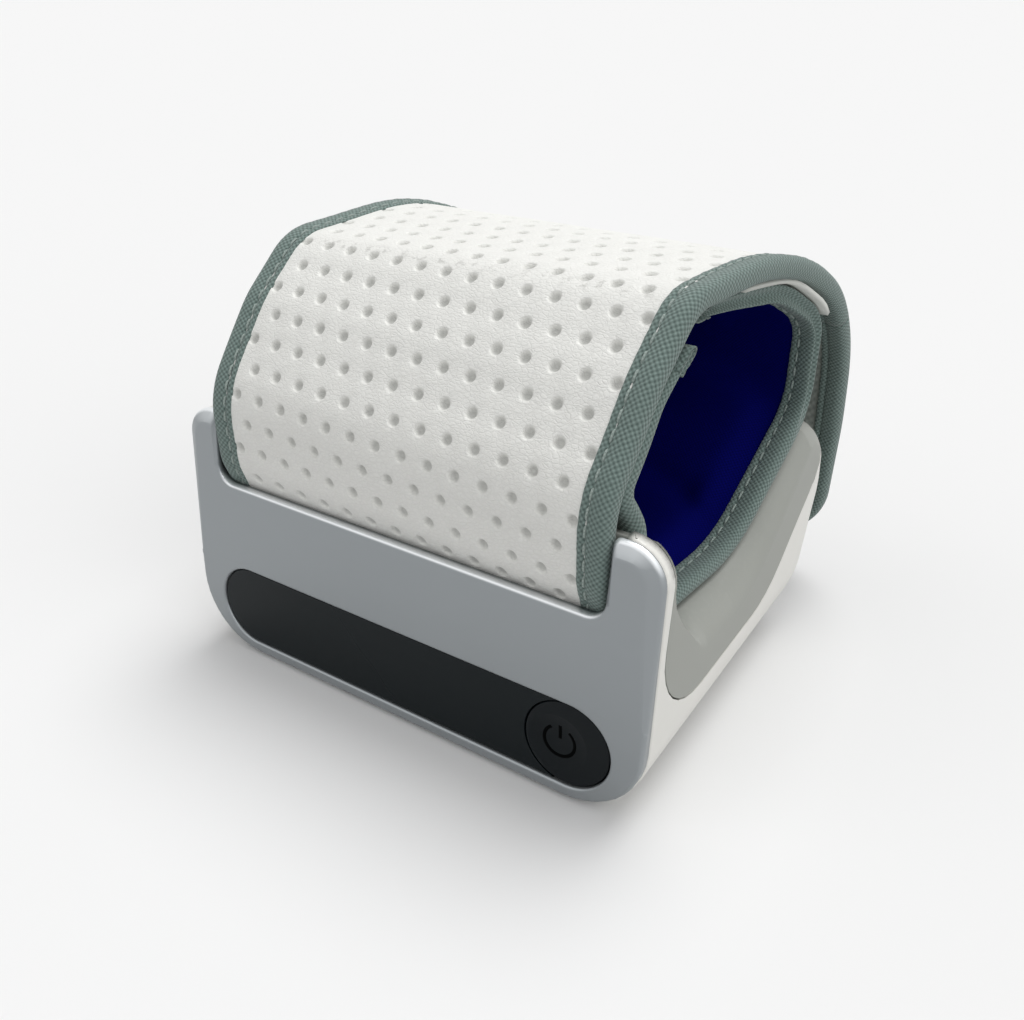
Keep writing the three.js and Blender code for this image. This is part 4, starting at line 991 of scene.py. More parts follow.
skin = cloth_piece(dimpled_skin(0, TAIL_ROW), "strap_outer_skin", "white_leatherette", ["strap_skin"],
                   bend_at_root)
tail_skin = cloth_piece(dimpled_skin(TAIL_ROW, ROWS), "tail_outer_skin", "white_leatherette",
                        ["tail_skin"], bend_at_tail)
stiffener = cloth_piece(
    layer(STRAP, STIFFENER_HALF, SKIN_START, TAIL_START, STIFFENER_DEPTHS, swell=0.0),
    "strap_stiffener", "pale_former", ["strap_former"], bend_at_root)
inner_cloth = cloth_piece(layer(STRAP, SKIN_HALF, SKIN_START, TAIL_START, INNER_DEPTHS, seed=2.0),
                          "strap_inner_cloth", "grey_knit", ["strap_lining"], bend_at_root)
tail_stiffener = cloth_piece(
    layer(STRAP, STIFFENER_HALF, TAIL_START, SKIN_END, STIFFENER_DEPTHS, TAIL_INNER_CORNER, swell=0.0),
    "tail_stiffener", "pale_former", ["tail_former"], bend_at_tail)
hook_pad = cloth_piece(
    layer(STRAP, SKIN_HALF, TAIL_START, SKIN_END, INNER_DEPTHS, TAIL_INNER_CORNER, seed=4.0),
    "tail_hook_cloth", "grey_knit", ["tail_hook_pad"], bend_at_tail)

for side, word in ((-1, "left"), (1, "right")):
    soup = Soup()
    sew_tape(soup, STRAP, edge_path(side, SKIN_START, TAIL_START), STRAP_THICKNESS, -1, seed=11.0 + side)
    tape = cloth_piece(soup, f"strap_edge_{word}", "grey_binding", [f"strap_binding_{word}"],
                       bend_at_root, "pale_thread")
    tape_cut(STRAP_THICKNESS)
soup = Soup()
tail_route = tail_path(TAIL_START, STRAP.length)
sew_tape(soup, STRAP, tail_route, STRAP_THICKNESS, -1, seed=21.0)
tape = cloth_piece(soup, "tail_edge", "grey_binding", ["tail_binding"], bend_at_tail, "pale_thread")
tape_cut(STRAP_THICKNESS)


# Cuff

CUFF_ENDS = 0.6  # cloth ends this far inside the cuff's ends
CUFF_CLOTH_END = CUFF.length - CUFF_ENDS
CUFF_OUTER_DEPTHS = (0.4, 0.9)
AIR_BAG_INSET = 2.0  # from the cloth's edges
AIR_BAG_ENDS = 6.0  # from the cuff's ends
AIR_BAG_DEPTHS = (1.05, 1.75)
FORMER_START = CUFF.length - 38.0
FORMER_END = CUFF.length - 14.0
FORMER_HALF = HALF_WIDTH + 0.4
FORMER_DEPTHS = (-1.1, -0.3)
FOLD_HOLLOW = (-64.0, -48.0, 1.5)  # where the edge tapes' folds sink in
CUFF_LINING_DEPTH = 2.05
TAPE_INSIDE = HALF_WIDTH - BINDING_WIDTH - 0.3  # the lining is sewn down from here outwards
LINING_FREE = TAPE_INSIDE - 4.5  # and is free to fold from here inwards
LINING_STEP = 1.8
LINING_WAVE = 0.25  # its unevenness before it is let out
LINING_WAVE_SIZE = 11.0
LINING_FRAMES = 20
LINING_SLACK = 0.09  # share by which the lining is larger than the rim it is sewn to
LINING_RISE = 2.4  # most that a fold stands up
LINING_SINK = 0.15  # most that it sinks in
LINING_CLOTH = 0.4


def let_out(points):
    """A sheet held along its rim and let out a little inside it: its points after a cloth simulation.

    It is simulated ten times as large as it is, where the solver works well.
    """
    rows, columns = points.shape[:2]
    enlarge = 10 * MM
    mesh = bpy.data.meshes.new("slack_sheet")
    mesh.from_pydata((points.reshape(-1, 3) * enlarge).tolist(), [], grid_faces(rows, columns))
    sheet = placed("slack_sheet", mesh)
    rim = sheet.vertex_groups.new(name="rim")
    rim.add([i * columns + j for i in range(rows) for j in range(columns)
             if i in (0, rows - 1) or j in (0, columns - 1)], 1.0, "REPLACE")
    cloth = sheet.modifiers.new("cloth", "CLOTH")
    cloth.settings.vertex_group_mass = "rim"
    cloth.settings.quality = 6
    cloth.settings.mass = 0.25
    cloth.settings.tension_stiffness = 12
    cloth.settings.compression_stiffness = 12
    cloth.settings.shear_stiffness = 6
    cloth.settings.bending_stiffness = 0.3
    cloth.settings.shrink_min = -LINING_SLACK
    cloth.settings.effector_weights.gravity = 0
    cloth.settings.use_pressure = True
    cloth.settings.uniform_pressure_force = 1.5
    cloth.point_cache.frame_end = LINING_FRAMES
    scene = bpy.context.scene
    for moment in range(1, LINING_FRAMES + 1):
        scene.frame_set(moment)
    settled = sheet.evaluated_get(bpy.context.evaluated_depsgraph_get()).data
    places = np.empty(3 * len(settled.vertices))
    settled.vertices.foreach_get("co", places)
    bpy.data.objects.remove(sheet)
    bpy.data.meshes.remove(mesh)
    scene.frame_set(1)
    return places.reshape(points.shape) / enlarge


def loose_lining():
    """The soft lining, sewn along its rim, with the folds that its slack makes."""
    across = spread(-SKIN_HALF, SKIN_HALF, LINING_STEP)
    x, s = np.meshgrid(across, spread(CUFF_ENDS, CUFF_CLOTH_END, LINING_STEP))
    free = 1 - smooth_step(abs(x), LINING_FREE, TAPE_INSIDE)
    waves = LINING_WAVE * free * soft_noise(x, s, LINING_WAVE_SIZE, 9.0)
    rest = CUFF.point(x, s, CUFF_LINING_DEPTH + waves)
    moved = let_out(rest) - rest
    way = CUFF.point(x, s, CUFF_LINING_DEPTH + 1.0) - CUFF.point(x, s, CUFF_LINING_DEPTH)
    rise = np.maximum((moved * way).sum(2), -LINING_SINK)
    rise = LINING_RISE * free * np.tanh(rise / LINING_RISE)
    face = rest + way * rise[..., None]
    lay = np.stack([x, s, 0 * s], -1)
    soup = Soup()
    soup.add(np.stack([face + way * LINING_CLOTH, face]), closed_sheet(*s.shape), np.stack([lay, lay]))
    return soup


outer_cloth = cloth_piece(layer(CUFF, SKIN_HALF, CUFF_ENDS, CUFF_CLOTH_END, CUFF_OUTER_DEPTHS, seed=6.0),
                          "cuff_outer_cloth", "grey_knit", ["cuff_backing"], on_housing)
lining = cloth_piece(loose_lining(), "cuff_inner_cloth", "navy_lining", ["cuff_lining"], on_housing)
rounded = lining.modifiers.new("rounded_folds", "SUBSURF")
rounded.levels = 1
rounded.render_levels = 1
air_bag = cloth_piece(
    layer(CUFF, SKIN_HALF - AIR_BAG_INSET, AIR_BAG_ENDS, CUFF.length - AIR_BAG_ENDS, AIR_BAG_DEPTHS,
          swell=0.1, seed=12.0),
    "cuff_air_bag", "bladder_film", ["air_bladder"], on_housing)
cloth_piece(layer(CUFF, FORMER_HALF, FORMER_START, FORMER_END, FORMER_DEPTHS, swell=0.05),
            "cuff_stiffener", "pale_former", ["cuff_former"], on_housing)
for side, word in ((-1, "left"), (1, "right")):
    soup = Soup()
    sew_tape(soup, CUFF, edge_path(side, CUFF_ENDS, CUFF_CLOTH_END), CUFF_THICKNESS, 1, seed=31.0 + side,
             hollow=FOLD_HOLLOW)
    across = end_path(0.0 if side < 0 else CUFF.length, -side)
    sew_tape(soup, CUFF, across, CUFF_THICKNESS, 1, seed=35.0 + side, over=END_TAPE_OVER)
    tape = cloth_piece(soup, f"cuff_edge_{word}", "grey_binding", [f"cuff_binding_{word}"], on_housing,
                       "pale_thread")
    tape_cut(CUFF_THICKNESS)


# Front panel, window and button, as x, height along the leaning panel and depth behind its face

CORNER_STEPS = 10
ROUND_END_STEPS = 28
ROLL_STEPS = 5  # lines on a rolled edge
BUTTON_RADIUS = SLOT_HEIGHT / 2 - BUTTON_GAP
BUTTON_X = SLOT_LENGTH / 2 - SLOT_HEIGHT / 2
EAR_TOP = TOP / math.cos(TILT)
NOTCH_RIGHT = STRAP_CENTRE + HALF_WIDTH + 0.45  # its right side lies against the strap
EAR_CORNER = 1.0
PANEL_ROLL = 0.55  # radius of the panel's outer edges
PANEL_LIP = 0.6  # the flat face starts this far from the edge
EAR_CHAMFER = 2.4  # and this far on the ears, behind a soft chamfer
EAR_DROP = 1.1  # depth of that chamfer
CHAMFER_START = 18.0  # height where it starts to widen
SIDE_CURVE = 30.0  # radius where the chamfer starts
EDGE_BOW = 0.05  # the sides stand out by this there
CREST_CORNERS = (3.0, 0.5)  # radii on the ears, where the flat face starts
CREST_SOFT = 0.35  # the face is quite flat this much further in
SLOT_ROLL = 0.4  # radius of the slot's edge
WINDOW_ROLL = 0.12


def closed_outline(corners):
    """A closed outline through corners (x, height, radius), counter-clockwise."""
    points = []
    count = len(corners)
    for i in range(count):
        place = np.array(corners[i][:2], float)
        radius = corners[i][2]
        before = np.array(corners[i - 1][:2], float) - place
        after = np.array(corners[(i + 1) % count][:2], float) - place
        before /= np.linalg.norm(before)
        after /= np.linalg.norm(after)
        between = math.acos(np.clip(before @ after, -1, 1))
        reach = radius / math.tan(between / 2)
        middle = before + after
        centre = place + middle / np.linalg.norm(middle) * radius / math.sin(between / 2)
        first = place + before * reach - centre
        last = place + after * reach - centre
        start = math.atan2(first[1], first[0])
        turn = math.remainder(math.atan2(last[1], last[0]) - start, 2 * math.pi)
        for k in range(CORNER_STEPS + 1):
            angle = start + turn * k / CORNER_STEPS
            points.append(centre + radius * np.array([math.cos(angle), math.sin(angle)]))
    return np.array(points)


def lean(points):
    """Points (x, height, depth) of the leaning panel in the frame."""
    x, height, depth = np.asarray(points, float).T
    y = FRONT + depth * math.cos(TILT) + height * math.sin(TILT)
    z = height * math.cos(TILT) - depth * math.sin(TILT)
    return np.stack([x, y, z], 1)


def plate(name, points, front, back, roll):
    """A flat plate with rolled edges, between two depths behind the panel's face."""
    outline = bpy.data.curves.new(name, "CURVE")
    outline.dimensions = "2D"
    outline.fill_mode = "BOTH"
    outline.extrude = (back - front) / 2 - roll
    outline.bevel_depth = roll
    outline.bevel_resolution = 4
    outline.offset = -roll
    line = outline.splines.new("POLY")
    line.points.add(len(points) - 1)
    line.points.foreach_set("co", np.column_stack([points, 0 * points]).ravel())
    line.use_cyclic_u = True
    holder = placed(name + "_outline", outline)
    bpy.context.view_layer.update()
    seen = holder.evaluated_get(bpy.context.evaluated_depsgraph_get())
    mesh = bpy.data.meshes.new_from_object(seen)
    bpy.data.objects.remove(holder)
    bpy.data.curves.remove(outline)
    flat = np.empty(3 * len(mesh.vertices))
    mesh.vertices.foreach_get("co", flat)
    x, height, toward = flat.reshape(-1, 3).T
    leaning = lean(np.stack([x, height, (front + back) / 2 - toward], 1)) * MM
    mesh.vertices.foreach_set("co", leaning.ravel())
    mesh.name = name
    made = placed(name, mesh)
    weld(made)
    return made


def weld(piece):
    """Joins the points that lie on each other, and shades rounded edges into flat faces."""
    made = bmesh.new()
    made.from_mesh(piece.data)
    bmesh.ops.remove_doubles(made, verts=made.verts, dist=0.01 * MM)
    bmesh.ops.recalc_face_normals(made, faces=made.faces)
    made.to_mesh(piece.data)
    made.free()
    piece.data.shade_smooth()
    even_normals(piece)


def even_normals(piece):
    """Shading that follows the large faces, with the small rolled ones between them."""
    weighted = piece.modifiers.new("even_normals", "WEIGHTED_NORMAL")
    weighted.weight = 100
    weighted.keep_sharp = True


def dress(piece, slot):
    """Gives a hard piece its finish."""
    piece.data.materials.clear()
    piece.data.materials.append(LOOKS[slot])


def panel_outline(lip, chamfer, corner_high, ear_corner, bow):
    """The panel's outline, or a line inside it where its face starts."""
    side = SIDE - lip
    foot = PANEL_FOOT + lip
    top = EAR_TOP - chamfer
    halves = []
    for notch in (NOTCH_RIGHT + lip, NOTCH_HALF + lip):
        halves.append([
            (side, foot, CORNER_LOW - lip),
            (side + bow, CHAMFER_START, SIDE_CURVE),
            (SIDE - chamfer, top, corner_high),
            (notch, top, ear_corner),
            (notch, NOTCH_HEIGHT - lip, NOTCH_CORNER + lip),
        ])
    left = [(-x, height, radius) for x, height, radius in reversed(halves[1])]
    return closed_outline(halves[0] + left)


def stadium(half_length, radius):
    """A round-ended slot's outline about the display's middle."""
    turns = np.linspace(-math.pi / 2, math.pi / 2, ROUND_END_STEPS)
    right = np.stack([half_length - radius + radius * np.cos(turns), radius * np.sin(turns)], 1)
    return np.concatenate([right, -right]) + [0, SLOT_CENTRE]


def filled(outer, hole, start_outer, start_hole):
    """Triangles between an outline and a hole in it, given where their points start in a piece."""
    loops = [[(x, height, 0.0) for x, height in line] for line in (outer, hole)]
    count = len(outer)
    return [tuple(start_outer + k if k < count else start_hole + k - count for k in triangle)
            for triangle in tessellate_polygon(loops)]


def panel_mesh():
    """The silver front: rolled edges, ears that fall back in a soft chamfer, and a rolled slot."""
    edge = panel_outline(0.0, 0.0, CORNER_HIGH, EAR_CORNER, EDGE_BOW)
    crest = panel_outline(PANEL_LIP, EAR_CHAMFER, *CREST_CORNERS, 0.0)
    reach = np.linalg.norm(crest - edge, axis=1)[:, None]
    way = (crest - edge) / reach
    drop = EAR_DROP * smooth_step(reach, 1.1 * PANEL_LIP, EAR_CHAMFER)
    rings = [np.hstack([edge, np.full_like(reach, PANEL_THICKNESS)])]
    for turn in np.linspace(0, math.pi / 2, ROLL_STEPS):
        into = PANEL_ROLL * (1 - math.cos(turn))
        depth = PANEL_ROLL * (1 - math.sin(turn)) + drop * (1 - into / reach)
        rings.append(np.hstack([edge + way * into, depth]))
    for share, height in ((0.5, 0.0), (0.85, 0.0), (1.0, 0.04)):
        into = PANEL_ROLL + (reach - PANEL_ROLL) * share
        rings.append(np.hstack([edge + way * into, drop * (1 - into / reach + height)]))
    rings.append(np.hstack([crest + way * CREST_SOFT, 0 * reach]))
    slot = []
    for turn in np.linspace(math.pi / 2, 0, ROLL_STEPS):
        out = SLOT_ROLL * (1 - math.cos(turn))
        line = stadium(SLOT_LENGTH / 2 + out, SLOT_HEIGHT / 2 + out)
        slot.append(np.column_stack([line, np.full(len(line), SLOT_ROLL * (1 - math.sin(turn)))]))
    slot.append(np.column_stack([slot[-1][:, :2], np.full(len(slot[-1]), PANEL_THICKNESS)]))
    around = len(edge)
    along = len(slot[0])
    slot_start = around * len(rings)
    faces = grid_faces(len(rings), around, ring=True)
    faces += [tuple(slot_start + k for k in face) for face in grid_faces(len(slot), along, ring=True)]
    faces += filled(rings[-1][:, :2], slot[0][:, :2], slot_start - around, slot_start)
    faces += filled(edge, slot[-1][:, :2], 0, slot_start + along * (len(slot) - 1))
    soup = Soup()
    soup.add(lean(np.concatenate(rings + slot)), faces)
    return soup


panel = panel_mesh().piece("front_cover", LOOKS["silver_panel"])
even_normals(panel)
finish_piece(panel, ["front_panel"], on_housing)


def window_outline():
    """The display strip: round at its left end, hollowed round the button at its right end."""
    radius = SLOT_HEIGHT / 2 - BUTTON_GAP
    hollow_radius = BUTTON_RADIUS + BUTTON_GAP
    left = stadium(SLOT_LENGTH / 2 - BUTTON_GAP, radius)[ROUND_END_STEPS:] - [0, SLOT_CENTRE]
    reach = math.asin(radius / hollow_radius) - 0.02
    turns = np.linspace(math.pi + reach, math.pi - reach, ROUND_END_STEPS)
    hollow = np.stack([BUTTON_X + hollow_radius * np.cos(turns), hollow_radius * np.sin(turns)], 1)
    return np.concatenate([left, hollow]) + [0, SLOT_CENTRE]


WINDOW_BACK = WINDOW_INSET + WINDOW_THICKNESS
window = plate("display_glass", window_outline(), WINDOW_INSET, WINDOW_BACK, WINDOW_ROLL)
dress(window, "dark_window")
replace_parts(window, "display_window")
on_housing(window)

BUTTON_SPOKES = 72
BUTTON_DISH = 0.7
BUTTON_BACK = 3.4
BUTTON_ROLL = [(0.0, 0.3), (0.08, 0.1), (0.27, 0.0)]  # its rolled edge: inward, back from its face
DISH_RADIUS = BUTTON_RADIUS - 2.1
DISH_CENTRE = np.array([-1.5, -0.4])  # from the button's own
DISH_RINGS = 14
DISH_HUB = 0.35  # radius of the smallest ring
SIGN_RADIUS = 2.65
SIGN_STROKE = 0.55
SIGN_GAP = math.radians(70.0)
SIGN_BAR = (0.4, SIGN_RADIUS + 0.3)  # from the sign's middle
SIGN_DEPTHS = (-0.02, 0.3)  # from just proud of the dish to inside the button


def dish_depth(radius):
    """Depth of the button's face behind the panel's."""
    return WINDOW_INSET + BUTTON_DISH * np.clip(1 - (np.asarray(radius) / DISH_RADIUS) ** 2, 0, 1)


def button_mesh():
    """A round button with a dished face and a power sign inlaid in it."""
    soup = Soup()
    middle = np.array([BUTTON_X, SLOT_CENTRE])
    turns = 2 * math.pi * np.arange(BUTTON_SPOKES) / BUTTON_SPOKES
    rings = [(BUTTON_RADIUS, BUTTON_BACK, middle)]
    rings += [(BUTTON_RADIUS - into, WINDOW_INSET + back, middle) for into, back in BUTTON_ROLL]
    rings += [(r, float(dish_depth(r)), middle + DISH_CENTRE)
              for r in np.linspace(DISH_RADIUS, DISH_HUB, DISH_RINGS)]
    points = [(x + r * math.cos(turn), height + r * math.sin(turn), depth)
              for r, depth, (x, height) in rings for turn in turns]
    soup.add(lean(points), tube_faces(len(rings), BUTTON_SPOKES))
    arc = np.linspace(math.pi / 2 + SIGN_GAP / 2, math.pi / 2 + 2 * math.pi - SIGN_GAP / 2, 40)
    ring_line = np.stack([SIGN_RADIUS * np.cos(arc), SIGN_RADIUS * np.sin(arc)], 1)
    bar_line = np.stack([np.zeros(8), np.linspace(*SIGN_BAR, 8)], 1)
    for line in (ring_line, bar_line):
        way = np.gradient(line, axis=0)
        way /= np.linalg.norm(way, axis=1)[:, None]
        aside = np.stack([-way[:, 1], way[:, 0]], 1)
        strip = np.stack([line + aside * SIGN_STROKE / 2 * k for k in (-1, 0, 1)], 1)
        depth = dish_depth(np.linalg.norm(strip, axis=2))
        front, back = [np.concatenate([strip + middle + DISH_CENTRE, (depth + sunk)[..., None]], 2)
                       for sunk in SIGN_DEPTHS]
        around = np.concatenate([front, back[:, ::-1]], 1)
        soup.add(lean(around.reshape(-1, 3)), tube_faces(*around.shape[:2]), share=1)
    return soup


button = button_mesh().piece("dished_button", LOOKS["dark_button"], LOOKS["button_sign"])
even_normals(button)
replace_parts(button, "power_button")
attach(button, "power_button")


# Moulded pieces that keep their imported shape, with their edges eased

WELDS = (0.005, 0.26)  # points this near to each other become one, in two rounds
FLAT_FACES = math.radians(0.7)  # faces that turn by less than this are joined
FRONT_NEAR = 0.5  # an edge is on the shell's front rim within this of its leaning face
OUTER_NEAR = 1.2  # and on its outside within this of its other faces
SHELL_ROUNDING = 0.6
CRADLE_ROUNDING = 0.3
DOOR_ROUNDING = 0.25
FLAT_TURN = math.radians(15)  # faces that turn by less than this go on as one
SHARP_TURN = math.radians(35)  # an edge that turns by more than this is rounded
LEAST_ROOM = 0.6  # an edge with less room beside it stays sharp
ROOM_SHARE = 0.42  # of the room beside an edge, that its rounding may take
STRAY_SHARE = 0.45  # of the rounding's width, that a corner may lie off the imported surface


def room_beside(edge):
    """How far the faces at an edge go on, sideways from it, before their next sharp edge, in metres."""
    room = 1.0
    start, end = [vert.co for vert in edge.verts]
    way = (end - start).normalized()
    others = [other for face in edge.link_faces for other in face.edges if other is not edge]
    for other in others:
        if len(other.link_faces) == 2 and other.calc_face_angle(0) < FLAT_TURN:
            continue
        near, far = [vert.co for vert in other.verts]
        span = far - near
        for spot in (start, (start + end) / 2, end):
            share = min(max((spot - near).dot(span) / max(span.length_squared, 1e-18), 0.0), 1.0)
            gap = near + span * share - spot
            beside = (gap - way * gap.dot(way)).length
            if beside > max(abs(gap.dot(way)), 1e-6):
                room = min(room, beside)
    return room


def packed_shape(node_name):
    """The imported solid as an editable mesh, with slivers closed and flat faces joined."""
    made = bmesh.new()
    made.from_mesh(frame["nodes"][node_name].data)
    for near in WELDS:
        bmesh.ops.remove_doubles(made, verts=made.verts, dist=near * MM)
    bmesh.ops.dissolve_limit(made, angle_limit=FLAT_FACES, verts=made.verts, edges=made.edges)
    return made


def on_outside(edge):
    """An edge of the shell's front rim, ears, back wall or underside, not one along the cradle."""
    middle = (edge.verts[0].co + edge.verts[1].co) / 2 / MM
    rim = middle.y < SHELL_LOW[1] + middle.z * math.tan(TILT) + FRONT_NEAR
    behind = middle.y > BACK - OUTER_NEAR or (middle.z > TOP - OUTER_NEAR and middle.y > 0)
    return rim or middle.z < OUTER_NEAR or behind


def any_edge(edge):
    """Every edge."""
    return True


def no_edge(edge):
    """No edge, for a piece whose edges are rounded already."""
    return False


def eased(made, node_name, name, width, slot, body, wanted):
    """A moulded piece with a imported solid's shape and its outer edges rounded where they have room."""
    weight = made.edges.layers.float.new("bevel_weight_edge")
    for edge in made.edges:
        sharp = len(edge.link_faces) == 2 and edge.is_convex and edge.calc_face_angle(0) > SHARP_TURN
        if sharp and wanted(edge):
            room = room_beside(edge)
            edge[weight] = min(ROOM_SHARE * room / (width * MM), 1.0) if room > LEAST_ROOM * MM else 0.0
    surface = BVHTree.FromBMesh(made)
    mesh = bpy.data.meshes.new(name)
    made.to_mesh(mesh)
    made.free()
    piece = placed(name, mesh)
    rounding = piece.modifiers.new("rounding", "BEVEL")
    rounding.width = width * MM
    rounding.segments = 3
    rounding.limit_method = "WEIGHT"
    rounding.use_clamp_overlap = False
    seen = piece.evaluated_get(bpy.context.evaluated_depsgraph_get())
    eased_mesh = bpy.data.meshes.new_from_object(seen)
    piece.modifiers.clear()
    piece.data = eased_mesh
    bpy.data.meshes.remove(mesh)
    # A corner that the rounding threw off the surface goes back onto it, and none goes below the floor
    for vertex in eased_mesh.vertices:
        place, _, _, far = surface.find_nearest(vertex.co)
        if far > STRAY_SHARE * width * MM:
            vertex.co = place
        vertex.co.z = max(vertex.co.z, 0.0)
    eased_mesh.shade_smooth()
    even_normals(piece)
    dress(piece, slot)
    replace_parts(piece, node_name)
    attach(piece, body)


EAR_BAND = 1.2  # the white ears reach this far further back, and the cradle starts behind them
EAR_CLOSER = 0.25  # the cradle moves back by this much less, to close its gap to the ears
EAR_LIP = 1.75  # the cradle's wall behind the ears is thinner by this
EAR_START = NOTCH_HALF + 0.1  # the ears lie outside this
EAR_RISE = (27.0, 35.0)  # heights between which the white band gets as wide
EAR_BACK = (-37.9, -37.4)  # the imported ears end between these
WALL_FACE = -37.0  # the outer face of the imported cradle's front wall is in front of this
WALL_INSIDE = -31.0  # and its inner face in front of this
WALL_LOW = 30.0  # height above which the wall gets thinner
LIP_RISE = (31.0, 38.0)  # heights between which it does
EAR_CUT = NOTCH_HALF + 0.2  # the cradle's faces are cut here, beside the ears
TOP_RANGE = (-29.0, 27.0, 0.5)  # where the cradle's top is measured: from, to, step
ABOVE_ALL = 80.0  # height above the whole object
BACK_DEEPENS = 1.3  # the sides give way over this much more for each millimetre that the back falls
RIM_ROUND = 5.5  # radius of the cradle's outer edges
BACK_ROUND = 9.5  # radius of the back wall's top edge
RIM_STEPS = 6
BACK_LEAN = 0.229  # the back wall's face comes forward this much for each millimetre down
BACK_ROUND_LOW = 22.0  # the back's rounding fades out down to this height
RIM_START = -30.0  # the sides' rounding starts here
RIM_FADE = 10.0  # and is full this much further back
RIM_TOP = 9.0  # the sides give way to the rounding over this height below their top


def behind_ear(x, z):
    """How full the white band behind an ear is, from 0 low down to 1 in its upper part."""
    return smooth_step(z, *EAR_RISE) * (abs(x) > EAR_START)


def quarter_drop(past, radius):
    """How far a round edge has fallen, past the line where it starts."""
    past = min(max(past, 0.0), radius)
    return radius - math.sqrt(radius ** 2 - past ** 2)


def top_heights():
    """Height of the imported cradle's top, from the seat to the back wall, as lists of y and z."""
    mesh = frame["nodes"]["cradle"].data
    points = [list(vertex.co) for vertex in mesh.vertices]
    cradle = BVHTree.FromPolygons(points, [list(face.vertices) for face in mesh.polygons])
    rows = []
    for y in np.arange(*TOP_RANGE):
        place = cradle.ray_cast(Vector((0.0, y, ABOVE_ALL)) * MM, Vector((0, 0, -1)))[0]
        rows.append((y, place.z / MM))
    return np.transpose(rows)


TOP_PLACES, TOP_HEIGHTS = top_heights()
BACK_TOP = TOP_HEIGHTS[-1]


def slice_at(made, place, way):
    """Cuts the faces of a mesh along a plane, without parting it. The place is in millimetres."""
    everything = made.verts[:] + made.edges[:] + made.faces[:]
    bmesh.ops.bisect_plane(made, geom=everything, dist=1e-7, plane_co=Vector(place) * MM, plane_no=way)


def rounded_rims(made):
    """Rounds the upper outer edges of the sides, beside the wrist, and the back wall's top edge."""
    for k in range(RIM_STEPS):
        inset = 1 - math.sin(k / RIM_STEPS * math.pi / 2)
        for side in (-1, 1):
            slice_at(made, (side * (SIDE - RIM_ROUND * inset), 0, 0), (1, 0, 0))
        slice_at(made, (0, BACK - BACK_ROUND * inset, BACK_TOP), (0, 1, -BACK_LEAN))
        slice_at(made, (0, RIM_START + RIM_FADE * k / (RIM_STEPS - 1), 0), (0, 1, 0))
    for vertex in made.verts:
        x, y, z = vertex.co / MM
        if y > 0 and z > BACK_TOP:
            z = BACK_TOP
            vertex.co.z = z * MM
        leaning = y + BACK_LEAN * (BACK_TOP - z)
        over_back = quarter_drop(leaning - BACK + BACK_ROUND, BACK_ROUND)
        beside = quarter_drop(abs(x) - SIDE + RIM_ROUND, RIM_ROUND)
        beside *= smooth_step(y, RIM_START, RIM_START + RIM_FADE)
        reach = RIM_TOP + BACK_DEEPENS * over_back
        share = min(max((z - np.interp(y, TOP_PLACES, TOP_HEIGHTS) + reach) / reach, 0.0), 1.0)
        over_back *= smooth_step(z, BACK_ROUND_LOW, BACK_TOP)
        vertex.co.z -= (over_back + beside * share) * MM
        vertex.co.y -= BACK_LEAN * over_back * MM


def shell_shape():
    """The white shell, with ears as thick as the band that shows behind the panel."""
    made = packed_shape("main_shell")
    for vertex in made.verts:
        x, y, z = vertex.co / MM
        if EAR_BACK[0] < y < EAR_BACK[1]:
            vertex.co.y += EAR_BAND * behind_ear(x, z) * MM
    rounded_rims(made)
    return made


def cradle_shape():
    """The grey cradle, with a thin lip behind the ears."""
    made = packed_shape("cradle")
    for side in (-1, 1):
        slice_at(made, (side * EAR_CUT, 0, 0), (1, 0, 0))
    for vertex in made.verts:
        x, y, z = vertex.co / MM
        if y < WALL_FACE:
            vertex.co.y += (EAR_BAND - EAR_CLOSER) * behind_ear(x, z) * MM
        elif abs(x) > EAR_START and y < WALL_INSIDE and z > WALL_LOW:
            vertex.co.y -= EAR_LIP * smooth_step(z, *LIP_RISE) * MM
    rounded_rims(made)
    return made


eased(shell_shape(), "main_shell", "moulded_shell", SHELL_ROUNDING, "white_shell", "housing", on_outside)
eased(cradle_shape(), "cradle", "moulded_cradle", CRADLE_ROUNDING, "grey_cradle", "housing", no_edge)
eased(packed_shape("battery_door"), "battery_door", "moulded_door", DOOR_ROUNDING, "white_shell",
      "battery_door", any_edge)

HIDDEN = {name for piece in bpy.data.objects for name in piece.get("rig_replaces", [])}
for part in frame["record"]["subparts"]:
    if part["node"] not in HIDDEN:
        dress(frame["nodes"][part["node"]], part["material_slot"])


# Strap's root, the end of the strap that is clamped behind the panel

ROOT_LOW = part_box("strap_root")[0][2] / MM
ROOT_RAISED = 0.2  # from the solid's lower end
ROOT_TOP = NOTCH_HEIGHT - 4.3
ROOT_LENGTH = ROOT_TOP - ROOT_LOW - ROOT_RAISED
ROOT_HALF = HALF_WIDTH - 0.4
ROOT_DEPTHS = (0.2, 2.3)
ROOT_PLACE = STRAP_FACE + STRAP_TUCK

root_band = Band([corner(ROOT_PLACE, ROOT_LOW + ROOT_RAISED), corner(ROOT_PLACE, ROOT_TOP)], -1)
root_sheet = layer(root_band, ROOT_HALF, 0.0, ROOT_LENGTH, ROOT_DEPTHS)
root_web = cloth_piece(root_sheet, "strap_root_web", "grey_binding", ["strap_root"], on_housing)


# Floor, light and camera

FLOOR_HALF = 20.0  # metres
FLOOR_SEEN = (0.86, 0.86, 0.86, 1)
FLOOR_LIT = (0.55, 0.55, 0.55, 1)
WORLD_SEEN = (0.92, 0.92, 0.92, 1)
WORLD_LIGHT = (0.35, 0.35, 0.35, 1)
CAMERA_PLACE = Vector((86.63, -139.19, 112.97)) * MM
CAMERA_WAY = Vector((-0.478, 0.728, -0.491))
LENS = 34.72
SENSOR = 36.0


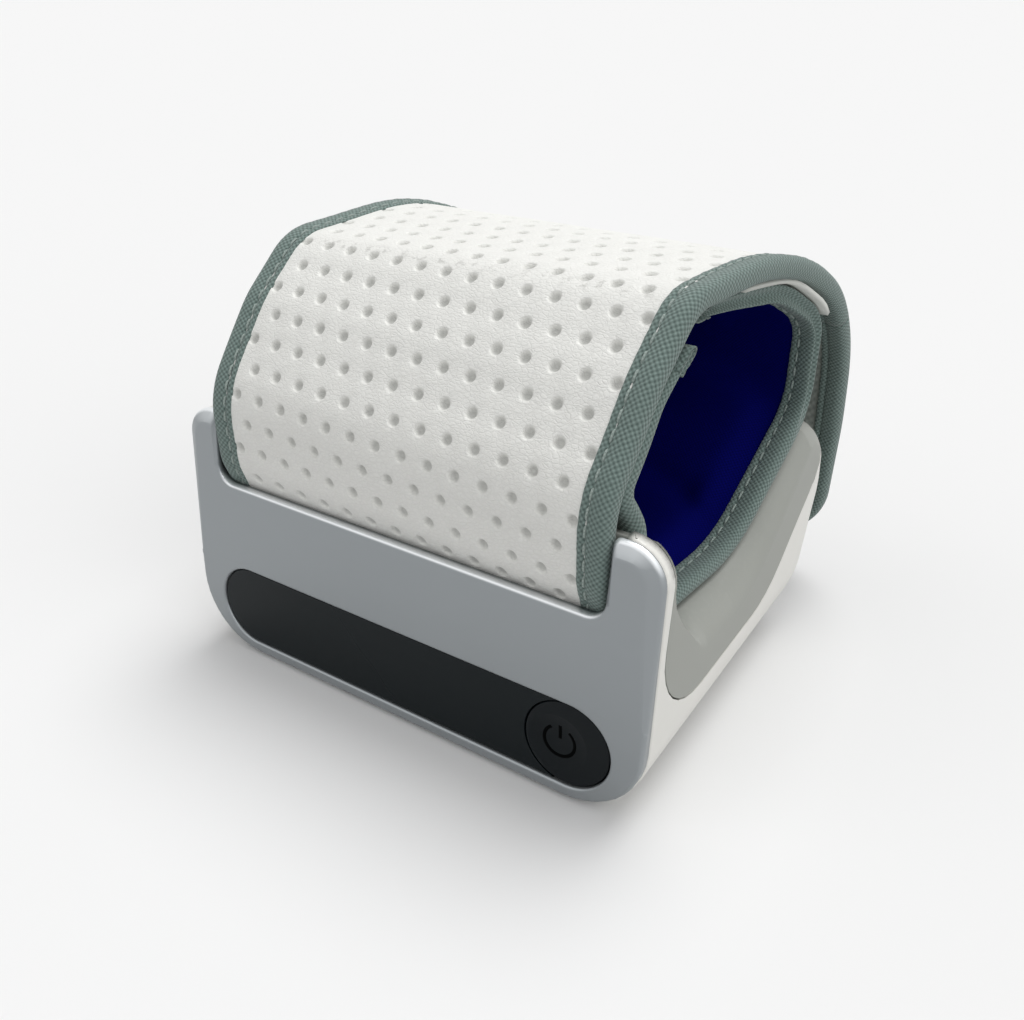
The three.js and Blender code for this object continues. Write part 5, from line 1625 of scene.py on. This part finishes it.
def seen_directly(tree):
    """1 for rays from the camera, mirrors and glass, 0 for the light that falls on the object."""
    path = node(tree, "LightPath").outputs
    direct = maths(tree, "MAXIMUM", path["Is Camera Ray"], path["Is Glossy Ray"])
    return maths(tree, "MAXIMUM", direct, path["Is Transmission Ray"])


def pale_floor():
    """A plain floor that the camera sees as white, and that other rays see as a pale surface."""
    half = FLOOR_HALF
    mesh = bpy.data.meshes.new("floor")
    corners = [(-half, -half, 0), (half, -half, 0), (half, half, 0), (-half, half, 0)]
    mesh.from_pydata(corners, [], [(0, 1, 2, 3)])
    material, tree, surface = start_material("pale_floor")
    feed(tree, surface["Base Color"], blend_colours(tree, seen_directly(tree), FLOOR_LIT, FLOOR_SEEN))
    surface["Roughness"].default_value = 0.9
    surface["Specular IOR Level"].default_value = 0.0
    mesh.materials.append(material)
    return placed("floor", mesh)


def lamp(name, place, strength, width):
    """A wide soft lamp, far off in the direction of a place, so that it lights the floor evenly."""
    light = bpy.data.lights.new(name, "SUN")
    light.energy = strength
    light.angle = math.radians(width)
    made = placed(name, light)
    made.location = place
    made.rotation_euler = (-Vector(place)).to_track_quat("-Z", "Y").to_euler()
    return made


def set_world():
    """Even light from all round, and white where the camera sees past the floor."""
    world = bpy.data.worlds.new("studio")
    bpy.context.scene.world = world
    world.use_nodes = True
    tree = world.node_tree
    colour = blend_colours(tree, seen_directly(tree), WORLD_LIGHT, WORLD_SEEN)
    feed(tree, tree.nodes["Background"].inputs["Color"], colour)


view = bpy.data.cameras.new("camera")
view.sensor_fit = "HORIZONTAL"
view.sensor_width = SENSOR
view.lens = LENS
view.clip_start = 0.01
camera = placed("camera", view)
camera.location = CAMERA_PLACE
camera.rotation_euler = CAMERA_WAY.to_track_quat("-Z", "Y").to_euler()
bpy.context.scene.camera = camera

set_world()
lamps = [
    lamp("top", (0.05, 0.35, 0.9), 1.75, 40.0),
    lamp("front", (-0.35, -0.6, 0.55), 0.45, 60.0),
    lamp("side", (0.8, -0.15, 0.45), 0.8, 60.0),
]
pale_floor()
bpy.context.scene.view_settings.view_transform = "Standard"
